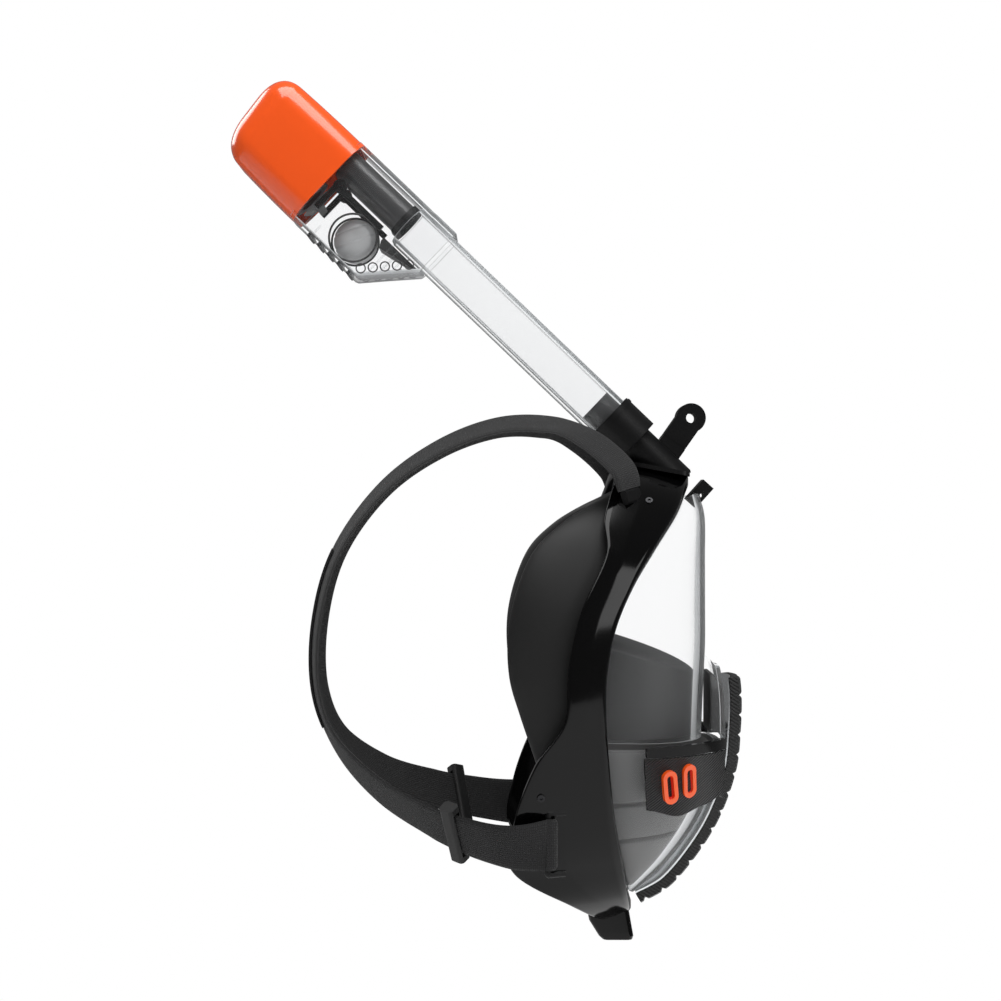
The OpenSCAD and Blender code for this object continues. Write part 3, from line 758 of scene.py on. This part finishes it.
def vent_skin(wall):
    """The vent panel: a strip whose lower edge dips under the vents and sweeps up behind them."""
    top = side_panel(8.9, 8.0, 26, 78, 5.2, wall, 40, 90)
    turn = np.linspace(0, 1, 90)
    dip = 0.16 * np.exp(-((turn - 0.72) / 0.2) ** 2) - 0.1 * np.exp(-((turn - 0.15) / 0.12) ** 2)
    row = np.linspace(0, 1, 40)[:, None] ** 1.5
    top[..., 2] -= row * dip * 26
    return top


def on_side(p, side):
    """Points made for the left side, mirrored for the right."""
    return p * [1, -1, 1] if side == "right" else p


def cover_rows(wall, rows, steps, rib_depth):
    """The chin cover: its middle line set in by wall, falling off to each side, cut by ribs."""
    s = np.linspace(0, 7, rows)
    p, q, o = along(COVER_MID, s), along(COVER_MID, s + 0.02), along(COVER_MID, np.maximum(s - 0.02, 0))
    t = unit(q - o)
    n = np.stack([-t[:, 1], t[:, 0]], -1)
    rib = np.clip(np.cos(2 * math.pi * walked(p) / 10.2), 0, 1) ** 5 * rib_depth
    k = np.linspace(-1, 1, steps)[None, :]
    half = (bpy.context.scene.snorkel_sizes.cover_half / MM * (1 - 0.25 * (s / 7) ** 2))[:, None]
    d = wall + 2.5 * k ** 2 + (rib[:, None] if rib_depth else 0)
    return np.stack([p[:, 0, None] - n[:, 0, None] * d, half * k, p[:, 1, None] - n[:, 1, None] * d], -1)


def hood_rows(wall, rows, steps):
    """The nose hood: a rounded box front, full at the bottom and drawn in at the top."""
    t = np.linspace(0, 1, rows)[:, None]
    a = np.radians(np.linspace(-90, 90, steps))[None, :]
    front = 89.4 - 3 * (1 - t) ** 3 - wall
    return np.stack([80.2 + (front - 80.2) * np.clip(np.cos(a), 0, 1) ** 0.35,
                     (27 - wall) * np.sin(a) + 0 * t, 11 - t * 34 - 5 * np.cos(a)], -1)


def pocket_rows(wall, rows, steps):
    """The nose and mouth cup: a rounded roof that slopes forward, over walls that spread downwards."""
    v = np.linspace(0, 1, rows)[:, None]
    a = np.radians(np.linspace(-90, 90, steps))[None, :]
    roof = np.clip(v / 0.35, 0, 1)
    t = np.clip((v - 0.35) / 0.65, 0, 1)
    size = np.sin(roof * math.pi / 2) ** 0.8
    back = 28 - 14 * t
    reach = (74 - wall - back) * np.clip(np.cos(a), 0, 1) ** 0.66
    x = back + reach * np.maximum(size, 0.02)
    y = (41.5 + 7.5 * t - wall) * np.sin(a) * np.maximum(size, 0.02)
    z = 15 - wall * (1 - t) + 7 * np.cos(roof * math.pi / 2) - (15 + 26) * t - 0.30 * (x - back) * (1 - t)
    return np.stack([x, y, z + 3 * (1 - t)], -1)


def strap_frames(count, last=15.0, first=0.0):
    """Points along the strap with the way across it (w) and the way out of its face (o).
    Its face lies on an ellipsoid head: out is the ellipsoid's normal, square to the strap's line."""
    s = np.linspace(first, last, count)
    p = along(STRAP, s)
    d = unit(along(STRAP, np.minimum(s + 0.05, 15)) - along(STRAP, np.maximum(s - 0.05, 0)))
    n = unit((p - HEAD) / HEAD_SIZE ** 2)
    w = unit(np.cross(d, n))
    return s, p, w, unit(np.cross(w, d)), d


def ribbon(line, way, out, half, thick):
    """A flat band along a line: half across it each way, and thick out of its face.
    Its edge follows an ellipse of the tenth power. Gives its sections, its map and its length in metres."""
    u = np.linspace(-1, 1, 15)
    edge = np.sqrt(np.clip(1 - np.abs(u) ** 10, 0, 1)) * thick
    across = half[:, None] * np.concatenate([u, u[-2:0:-1]])
    lift = np.concatenate([edge, -edge[-2:0:-1]])
    rows = line[:, None] + way[:, None] * across[..., None] + out[:, None] * lift[None, :, None]
    walk = walked(line)
    uv = np.stack([np.repeat(walk[:, None], len(lift), 1), across + 0.3 * lift], -1) * MM
    return rows, uv, walk[-1] * MM


def strap_band(name, side):
    """One strap: a ribbon whose way across turns level at its end and that narrows at its start."""
    sizes = bpy.context.scene.snorkel_sizes
    s, p, w, o, _ = strap_frames(260)
    half = sizes.strap_width / MM / 2 * np.where(s < 1, 0.85 + 0.15 * s, 1.0)
    level = np.clip((s - 13.2) / 1.8, 0, 1)[:, None] ** 2
    w = unit(w * (1 - level) + np.array([0, 0, np.sign(w[-1, 2])]) * level)
    rows, uv, length = ribbon(p, w, o, half, sizes.strap_thickness / MM / 2)
    return sweep_piece(name, on_side(rows, side), "webbing", 50, uv), length


def strap_end():
    """The strap's last point, its level way on, its way up and the way out of its face."""
    _, p, w, o, d = strap_frames(2)
    on = unit(d[-1] * [1, 1, 0])
    up = np.array([0, 0, np.sign(w[-1, 2])])
    out = np.cross(up, on)
    return p[-1], on, up, out * np.sign(np.dot(out, o[-1]))


def strap_fold(name, side):
    """The end of the strap, folded round its bar: on past the last point, round half a circle, and back."""
    p, on, up, out = strap_end()
    a = np.linspace(0, math.pi, 24)
    lift = np.concatenate([np.full(6, FOLD_TURN), FOLD_TURN * np.cos(a), np.full(8, -FOLD_TURN)])
    reach = np.concatenate([np.linspace(-0.5, FOLD_REACH, 6), FOLD_REACH + FOLD_TURN * np.sin(a),
                            np.linspace(FOLD_REACH, FOLD_REACH - FOLD_BACK, 8)])
    line = p + (lift - FOLD_TURN)[:, None] * out + reach[:, None] * on
    face = unit(np.stack([np.gradient(reach), np.gradient(lift)], -1))
    normal = -face[:, 1:] * on + face[:, :1] * out
    rows, uv, length = ribbon(line, np.broadcast_to(up, line.shape), normal, np.full(len(line), 12.5), 1.15)
    return sweep_piece(name, on_side(rows, side), "webbing", 50, uv), length


def strap_post(name, side):
    """The bar inside the fold: a round rod upright in the fold, bent at both ends into the frame."""
    p, on, up, out = strap_end()
    middle = p + FOLD_REACH * on - FOLD_TURN * out
    up = abs(up) * 14.6
    far = on * 9 - out * 1.5
    bends = ((1, 1), (1, 0.5), (1, 0.12), (0.9, 0), (0, 0), (-0.9, 0), (-1, 0.12), (-1, 0.5), (-1, 1))
    line = along([middle + up * u + far * f for u, f in bends], np.linspace(0, 8, 65))
    way = np.cross(on, [0, 0, 1])
    other = unit(np.cross(unit(np.gradient(line, axis=0)), way))[:, None]
    b = np.linspace(0, 2 * math.pi, 16, endpoint=False)[None, :, None]
    rows = line[:, None] + 1.7 * (way * np.cos(b) + other * np.sin(b))
    return sweep_piece(name, on_side(rows, side), "satin_black", 50)


def hoop(name, middle, left, radius, thick, look):
    """A round bar bent to a circle in the snorkel's side plane: its middle (front, up) and how far left."""
    a = np.linspace(0, 2 * math.pi, 64, endpoint=False)[:, None]
    b = np.linspace(0, 2 * math.pi, 12, endpoint=False)[None]
    r = radius + thick * np.cos(b)
    y = left + thick * np.sin(b) + 0 * a
    rows = np.stack([middle[0] + r * np.cos(a), y, middle[1] + r * np.sin(a)], -1)
    return ring_piece(name, snorkel_to_mask(rows), look)


def rounded_outline(x_low, x_high, width, r):
    """Rectangle with round corners, seen along the snorkel's axis."""
    a = np.linspace(0, math.pi / 2, 8)
    arcs = []
    y = width / 2 - r
    for k, middle in enumerate(((x_high - r, y), (x_low + r, y), (x_low + r, -y), (x_high - r, -y))):
        b = a + k * math.pi / 2
        arcs.append(np.array(middle) + r * np.stack([np.cos(b), np.sin(b)], -1))
    return np.vstack(arcs)


def cap_sections(wall):
    """The cap's outer skin from rim to crown: straight sides, then a quarter-round shoulder.
    The crown slopes: its front is higher than its back."""
    rows = []
    deep, wide, r, middle = 52 - 2 * wall, 56 - 2 * wall, 13 - wall, -12.6
    for v in np.concatenate([np.linspace(0, 1, 24), 1 + np.linspace(0, 1, 26)[1:]]):
        shrink = 1.0 if v <= 1 else max(0.015, math.cos((v - 1) * math.pi / 2) ** 0.62)
        rise = min(v, 1.0) * 0.74 + (0.26 * math.sin((v - 1) * math.pi / 2) if v > 1 else 0)
        belly = 1 - 0.015 * (min(v, 1.0) - 0.4) ** 2
        o = rounded_outline(-deep / 2, deep / 2, wide, r) * shrink * belly
        top = CAP_CROWN - wall - 5.5 * (deep / 2 - o[:, 0]) / deep
        z = CAP_RIM + (top - CAP_RIM) * rise
        rows.append(np.column_stack([o[:, 0] * (1 - 0.05 * rise ** 2) + middle, o[:, 1], z]))
    return np.array(rows)


def housing_sections(wall):
    """The dry top's clear box, tapering at its back to a sleeve round the tube."""
    rows = []
    for h in np.linspace(0, HOUSING_TOP, 40):
        back = -38.8 if h > 23 else -13.6 - 25.2 * h / 23
        front = 13.6 if h < 14 else 13.4
        wide = 44.5 + 3.5 * min(max((h - 12) / 10, 0), 1)
        o = rounded_outline(back + wall, front - wall, wide - 2 * wall, 5 - wall * 0.6)
        rows.append(np.column_stack([o, np.full(len(o), h)]))
    return np.array(rows)


# ---------------------------------------------------------------- what a user would change

class SnorkelSizes(bpy.types.PropertyGroup):
    """Sizes of the shells and the strap."""
    frame_wall: bpy.props.FloatProperty(
        name="Frame wall", description="Thickness of the frame band", default=0.005, unit="LENGTH")
    lens_wall: bpy.props.FloatProperty(
        name="Lens wall", description="Thickness of the lens", default=0.0024, unit="LENGTH")
    skirt_wall: bpy.props.FloatProperty(
        name="Skirt wall", description="Thickness of the silicone skirt", default=0.0025, unit="LENGTH")
    cover_half: bpy.props.FloatProperty(
        name="Cover half width", description="Half width of the ribbed chin cover",
        default=0.018, unit="LENGTH")
    strap_width: bpy.props.FloatProperty(
        name="Strap width", description="Width of the elastic strap", default=0.025, unit="LENGTH")
    strap_thickness: bpy.props.FloatProperty(
        name="Strap thickness", description="Thickness of the elastic strap",
        default=0.0022, unit="LENGTH")


class SnorkelColours(bpy.types.PropertyGroup):
    """Colours of the snorkel's finishes."""
    shell_black: bpy.props.FloatVectorProperty(
        name="Shell black", description="Gloss black of the frame",
        subtype="COLOR", default=(0.0012, 0.0012, 0.0013))
    trim_black: bpy.props.FloatVectorProperty(
        name="Trim black", description="Satin black of the trims",
        subtype="COLOR", default=(0.003, 0.003, 0.0032))
    skirt_black: bpy.props.FloatVectorProperty(
        name="Skirt black", description="Black of the silicone skirt",
        subtype="COLOR", default=(0.002, 0.002, 0.0021))
    strap_black: bpy.props.FloatVectorProperty(
        name="Strap black", description="Black of the elastic",
        subtype="COLOR", default=(0.005, 0.005, 0.0053))
    pocket_grey: bpy.props.FloatVectorProperty(
        name="Pocket grey", description="Grey of the nose pocket",
        subtype="COLOR", default=(0.052, 0.052, 0.053))
    inner_grey: bpy.props.FloatVectorProperty(
        name="Inner grey", description="Grey of the air channels",
        subtype="COLOR", default=(0.035, 0.035, 0.036))
    orange: bpy.props.FloatVectorProperty(
        name="Orange", description="Orange of the cap and vents",
        subtype="COLOR", default=(1.0, 0.1, 0.007))


# ---------------------------------------------------------------- one operator for each group of pieces

SIDES = ("left", "right")


def settle(piece, body, slot, *nodes):
    """Ride on a body and stand in for CAD nodes. The slot is not used."""
    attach(piece, body)
    if nodes:
        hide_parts(*nodes)


def shell(name, rows, thick, look, smooth=35.0):
    """The wall between the surface that rows gives at no depth and the one at depth thick."""
    return wall_piece(name, rows(0), rows(thick), look, smooth)


def box_between(corners, *ends):
    """Sections of a straight bar: the corner function at each end."""
    return snorkel_to_mask(np.array([corners(end) for end in ends]))


class SNORKEL_OT_frame(bpy.types.Operator):
    """Build the gloss black frame band, the tab under the chin and the gasket under the neck"""
    bl_idname = "snorkel.frame"
    bl_label = "Frame"

    def execute(self, context):
        settle(ring_piece("frame_band", frame_sections(420), "gloss_black", 28),
               "mask", "gloss_black", "frame")
        heights = np.linspace(-131.6, -110, 12)
        foot = np.where(np.arange(12) == 0, 0.9, 0.0)
        outlines = [rounded_outline(19.6 + e - 0.62 * (h + 121.5) * (h < -121.5),
                                    38.3 - e - 0.177 * (h + 107), 26 - 2 * e, 3)
                    for h, e in zip(heights, foot)]
        settle(sweep_piece("chin_tab", upright(outlines, heights), "gloss_black", 30),
               "mask", "gloss_black", "chin_lug")
        plate = upright([rounded_outline(41, 70.5, 46, 5)] * 2, (0, 0))
        plate[..., 2] = 110.15 - 0.1835 * (plate[..., 0] - 52) - np.array([0.0, 2.2])[:, None]
        settle(sweep_piece("neck_gasket", plate, "satin_black"), "mask", "gloss_black")
        return {"FINISHED"}


class SNORKEL_OT_lens(bpy.types.Operator):
    """Build the clear lens, the nose hood and the clear chin shell"""
    bl_idname = "snorkel.lens"
    bl_label = "Lens, hood and chin shell"

    def execute(self, context):
        wall = context.scene.snorkel_sizes.lens_wall / MM
        settle(shell("lens_window", lambda d: bulge_rows(LENS_MID, LENS_EDGE, 5.6, d, 90, 121), wall,
                     "clear"),
               "mask", "clear", "lens")
        settle(shell("nose_hood", lambda d: hood_rows(d, 30, 61), 2.2, "clear"),
               "mask", "clear", "front_hood")
        settle(shell("chin_window", lambda d: bulge_rows(SHELL_MID, SHELL_EDGE, 5.6, d, 70, 121), 2.2,
                     "clear_tube"), "mask", "clear", "chin_shell")
        return {"FINISHED"}


class SNORKEL_OT_soft(bpy.types.Operator):
    """Build the face skirt, the nose pocket and the grey inner wall of the chin"""
    bl_idname = "snorkel.soft"
    bl_label = "Silicone parts"

    def execute(self, context):
        settle(ring_piece("face_skirt", skirt_sections(320), "black_silicone", 60),
               "mask", "black_silicone", "skirt")
        settle(shell("nose_cup", lambda d: pocket_rows(d, 70, 81), 2, "grey_silicone", 50),
               "mask", "grey_silicone", "nose_pocket")
        heights = np.linspace(-25, 4.5, 24)
        taper = np.clip((heights + 3) / 7.5, 0, 1)
        outlines = [rounded_outline(80.6, 86.6 - 4.2 * t ** 1.5, 40 - 8 * t, 1.2) for t in taper]
        settle(sweep_piece("nose_tip", upright(outlines, heights), "grey_silicone", 40),
               "mask", "grey_silicone")
        s = np.linspace(0, 1, 160)
        folds = 1.5 * np.exp(-((s - 0.33) / 0.011) ** 2) + 1.7 * np.exp(-((s - 0.56) / 0.011) ** 2)
        folds = folds[:, None, None]
        outer = bulge_rows(SHELL_MID, SHELL_EDGE, 7.4, 3.4, 160, 101)
        outer = outer + inward(outer) * folds - [1, 0, 0] * folds
        inner = bulge_rows(SHELL_MID, SHELL_EDGE, 7.4, 6.6, 160, 101)
        settle(wall_piece("chin_lining", outer, inner, "pale_silicone", 60),
               "mask", "grey_silicone", "chin_duct")
        return {"FINISHED"}


class SNORKEL_OT_chin(bpy.types.Operator):
    """Build the ribbed chin cover, its bright trim, the side vent panels and their orange rings"""
    bl_idname = "snorkel.chin"
    bl_label = "Chin cover and vents"

    def execute(self, context):
        cover = wall_piece("ribbed_cover", cover_rows(0, 260, 25, 1.5), cover_rows(4.6, 260, 25, 0),
                           "ridged_cover")
        settle(cover, "mask", "matte_black", "chin_cover")
        settle(shell("cover_edge", lambda d: cover_rows(5 + d, 120, 13, 0), 0.8, "chrome"),
               "mask", "chrome_trim", "cover_trim")
        for side in SIDES:
            settle(shell("vent_plate_" + side, lambda d: on_side(vent_skin(d), side), 2, "ridged"),
                   "mask", "matte_black", "vent_panel_" + side)
            for k in (0, 1):
                settle(vent_lip("vent_lip_inner_%s_%d" % (side, k), k, side), "mask", "orange")
            settle(shell("lower_lens_bar_" + side,
                         lambda d: on_side(side_panel(7.97, 7.78, 26, 77, 5.8, d, 12, 70), side), 3,
                         "gloss_black"), "mask", "gloss_black", "trim_bar_" + side)
        return {"FINISHED"}


class SNORKEL_OT_strap(bpy.types.Operator):
    """Build the woven strap, its folds round their posts, and the patch that joins it at the back"""
    bl_idname = "snorkel.strap"
    bl_label = "Strap"

    def execute(self, context):
        for side in SIDES:
            band, length = strap_band("strap_band_" + side, side)
            settle(band, "mask", "webbing", "strap_" + side)
            fold, around = strap_fold("strap_fold_" + side, side)
            settle(fold, "mask", "webbing")
            settle(strap_post("strap_post_" + side, side), "mask", "matte_black", "strap_bar_" + side)
        level = strap_frames(60, 9.6, 7.0)[1] * [1, 0, 1]
        q = unit(level - HEAD)[:, None]
        u = np.linspace(-1, 1, 13)
        middle = level[:, None] + q * 3.6
        outer = middle + np.stack([0 * u, 12 * u, 0 * u], -1)[None] - q * (0.5 * u ** 2)[None, :, None]
        walk = walked(middle[:, 0])
        uv = np.stack([np.repeat(walk[:, None], 13, 1), np.repeat(12 * u[None], 60, 0)], -1) * MM
        patch = wall_piece("strap_patch", outer, outer - q * 1.2, "webbing", 50, uv)
        settle(patch, "mask", "webbing", "strap_joiner")
        return {"FINISHED"}


class SNORKEL_OT_dry_top(bpy.types.Operator):
    """Build the orange cap and the clear housing with its slats, scallops, ball cage and rails"""
    bl_idname = "snorkel.dry_top"
    bl_label = "Dry top"

    def execute(self, context):
        skin = np.concatenate([cap_sections(2.4)[::-1], cap_sections(0)])
        settle(sweep_piece("orange_cap", snorkel_to_mask(skin), "orange", 40), "snorkel", "orange", "top_cap")
        walls = np.concatenate([housing_sections(0), housing_sections(2)[::-1]])
        settle(ring_piece("clear_housing", snorkel_to_mask(walls), "clear_smoke", 30),
               "snorkel", "clear", "dry_top_housing")
        for k in range(VENTS):
            h = VENT_LOW + VENT_PITCH * k
            slat = box_between(lambda x: [[x, y, h + (x + 38.8) * 0.35 + t]
                                          for y, t in ((-15, 0), (15, 0), (15, 1.2), (-15, 1.2))],
                               -39.2, -37.6, -36.1)
            settle(sweep_piece("vent_slat_%d" % k, slat, "clear_smoke"), "snorkel", "clear")
            lip = box_between(lambda y: [[x, y, h + t] for x, t in
                                         ((-39.6, -0.2), (-37.6, -0.2), (-37.6, 1.5), (-39.6, 1.5))],
                              -15.5, 15.5)
            settle(sweep_piece("vent_lip_%d" % k, lip, "dark_grey"), "snorkel", "dark_grey")
        for side, y in (("right", -21.6), ("left", 21.6)):
            for k in range(5):
                t = (k + 0.5) / 5
                settle(hoop("intake_scallop_%s_%d" % (side, k), (-35.2 + 22.8 * t, 24.4 - 20.4 * t),
                            y * 1.02, 2.3, 0.33, "dark_grey"), "snorkel", "dark_grey")
            settle(hoop("ball_cage_" + side, (-24, 37.5), y * 0.45, 12.2, 0.55, "dark_grey"),
                   "snorkel", "dark_grey")
            for k, (low, high, h) in enumerate(((-37.5, -30, 58), (-36.8, -14, 14.5), (-37.2, -12, 18.5))):
                rail = box_between(lambda x: [[x, y + e, h + f] for e, f in
                                              ((-0.4, -0.4), (0.4, -0.4), (0.4, 0.4), (-0.4, 0.4))],
                                   low + max(0, 23 - h) * 1.1, high)
                settle(sweep_piece("wall_rail_%s_%d" % (side, k), rail, "clear_smoke"), "snorkel", "clear")
        return {"FINISHED"}


class SNORKEL_OT_float(bpy.types.Operator):
    """Build the ribbed float ball"""
    bl_idname = "snorkel.float"
    bl_label = "Float ball"

    def execute(self, context):
        a = np.radians(np.linspace(-90, 90, 121)[1:-1])[:, None]
        b = np.linspace(0, 2 * math.pi, 72, endpoint=False)[None]
        groove = 1 - 0.035 * np.clip(np.cos(a * 11 + 0.4), 0, 1) ** 6
        tilt = math.radians(62)
        u = BALL_RADIUS * np.sin(a) + 0 * b
        v = BALL_RADIUS * np.cos(a) * groove * np.cos(b)
        y = BALL_RADIUS * np.cos(a) * groove * np.sin(b)
        x = -24 + u * math.cos(tilt) - v * math.sin(tilt)
        z = 36 + u * math.sin(tilt) + v * math.cos(tilt)
        settle(sweep_piece("ribbed_float", snorkel_to_mask(np.stack([x, y, z], -1)), "ball_grey", 60),
               "float", "ball_grey", "float_ball")
        return {"FINISHED"}


class SNORKEL_OT_tube(bpy.types.Operator):
    """Build the clear snorkel tube and the two thin walls inside it"""
    bl_idname = "snorkel.tube"
    bl_label = "Snorkel tube"

    def execute(self, context):
        settle(slot_tube("clear_tube", TUBE_OUTSIDE, TUBE_INSIDE, TUBE_LOW, TUBE_HIGH, 0.6, "clear_tube"),
               "snorkel", "clear", "snorkel_tube")
        for side, k in (("right", -1), ("left", 1)):
            plate = box_between(lambda z: [[x, k * 10.8 + y, z] for x, y in
                                           ((-9.6, -0.6), (9.6, -0.6), (9.6, 0.6), (-9.6, 0.6))],
                                TUBE_LOW + 0.4, -1.0)
            settle(sweep_piece("tube_divider_" + side, plate, "clear_tube"), "snorkel", "clear")
        return {"FINISHED"}


class SNORKEL_OT_finishes(bpy.types.Operator):
    """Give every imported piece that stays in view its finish"""
    bl_idname = "snorkel.finishes"
    bl_label = "Finishes of the packed pieces"

    LOOKS = {
        "grey_silicone": ("inhale_disc_left", "inhale_disc_right"),
        "satin_black": ("neck", "collar", "channel_ring", "float_lever", "strap_tip_left",
                        "strap_tip_right", "socket", "camera_mount", "lens_clip"),
        "dark_grey": ("inhale_channel", "channel_duct", "tube_plug", "inhale_seat_left",
                      "inhale_seat_right", "drain_seat"),
        "pale_silicone": ("drain_disc", "valve_pad", "seal_ring", "valve_seat"),
        "orange": ("vent_rings_left", "vent_rings_right"),
        "black_silicone": ("keeper_left", "keeper_right"),
        "steel": ("frame_screws", "lever_pin"),
    }

    def execute(self, context):
        for look, nodes in self.LOOKS.items():
            for node in nodes:
                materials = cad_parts[node].data.materials
                materials.clear()
                materials.append(finish(look))
        return {"FINISHED"}


class SNORKEL_OT_stage(bpy.types.Operator):
    """Set the floor, the lights and the camera"""
    bl_idname = "snorkel.stage"
    bl_label = "Stage"

    LAMPS = (
        # name, place, size, watts
        ("key_above", (0.1, -0.5, 1.5), 1.4, 30.0),
        ("fill_front", (1.5, -1.0, 0.5), 0.8, 7.0),
        ("rim_back", (-1.2, 0.9, 0.9), 0.8, 8.0),
    )

    def execute(self, context):
        scene = context.scene
        x, y = np.meshgrid(np.linspace(-1.2, 1.2, 3), np.linspace(-1.9, 0.5, 3), indexing="ij")
        corners = np.stack([x, y, np.full_like(x, CAD_BOX[0][2] - FLOOR_DROP)], -1).reshape(-1, 3) / MM
        mesh_piece("studio_floor", corners, quads(3, 3, False, False), "studio_floor")
        light_sky(scene)
        target = Vector((-0.03, 0.0, 0.07))
        for name, place, size, power in self.LAMPS:
            data = bpy.data.lights.new(name, "AREA")
            data.size = size
            data.energy = power
            lamp = bpy.data.objects.new(name, data)
            scene.collection.objects.link(lamp)
            lamp.location = place
            lamp.rotation_euler = (target - Vector(place)).to_track_quat("-Z", "Y").to_euler()
        eye = bpy.data.cameras.new("side_camera")
        eye.sensor_width = 36.0
        eye.lens = 80.3
        eye.clip_end = 50.0
        camera = bpy.data.objects.new("side_camera", eye)
        scene.collection.objects.link(camera)
        camera.location = (-0.0255, -1.15, 0.0924)
        camera.rotation_euler = (math.pi / 2, 0, 0)
        scene.camera = camera
        scene.view_settings.view_transform = "Standard"
        return {"FINISHED"}


class SNORKEL_PT_panel(bpy.types.Panel):
    """The snorkel's pieces and its sizes"""
    bl_label = "Full face snorkel"
    bl_idname = "SNORKEL_PT_panel"
    bl_space_type = "VIEW_3D"
    bl_region_type = "UI"
    bl_category = "Snorkel"

    def draw(self, context):
        for group in (context.scene.snorkel_sizes, context.scene.snorkel_colours):
            for name in group.__annotations__:
                self.layout.prop(group, name)
        for operator in OPERATORS:
            self.layout.operator(operator.bl_idname)


OPERATORS = (SNORKEL_OT_stage, SNORKEL_OT_frame, SNORKEL_OT_lens, SNORKEL_OT_soft, SNORKEL_OT_chin,
             SNORKEL_OT_strap, SNORKEL_OT_dry_top, SNORKEL_OT_float, SNORKEL_OT_tube, SNORKEL_OT_finishes)
GROUPS = (SnorkelSizes, SnorkelColours)


def register():
    """Add the classes and hang the two groups on the scene."""
    for cls in (*GROUPS, *OPERATORS, SNORKEL_PT_panel):
        bpy.utils.register_class(cls)
    bpy.types.Scene.snorkel_sizes = bpy.props.PointerProperty(type=SnorkelSizes)
    bpy.types.Scene.snorkel_colours = bpy.props.PointerProperty(type=SnorkelColours)


def unregister():
    """Take the groups and the classes away again."""
    del bpy.types.Scene.snorkel_colours
    del bpy.types.Scene.snorkel_sizes
    for cls in reversed((*GROUPS, *OPERATORS, SNORKEL_PT_panel)):
        bpy.utils.unregister_class(cls)


def main():
    """Build every group in order."""
    register()
    for operator in OPERATORS:
        group, name = operator.bl_idname.split(".")
        getattr(getattr(bpy.ops, group), name)()


if __name__ == "__main__":
    main()
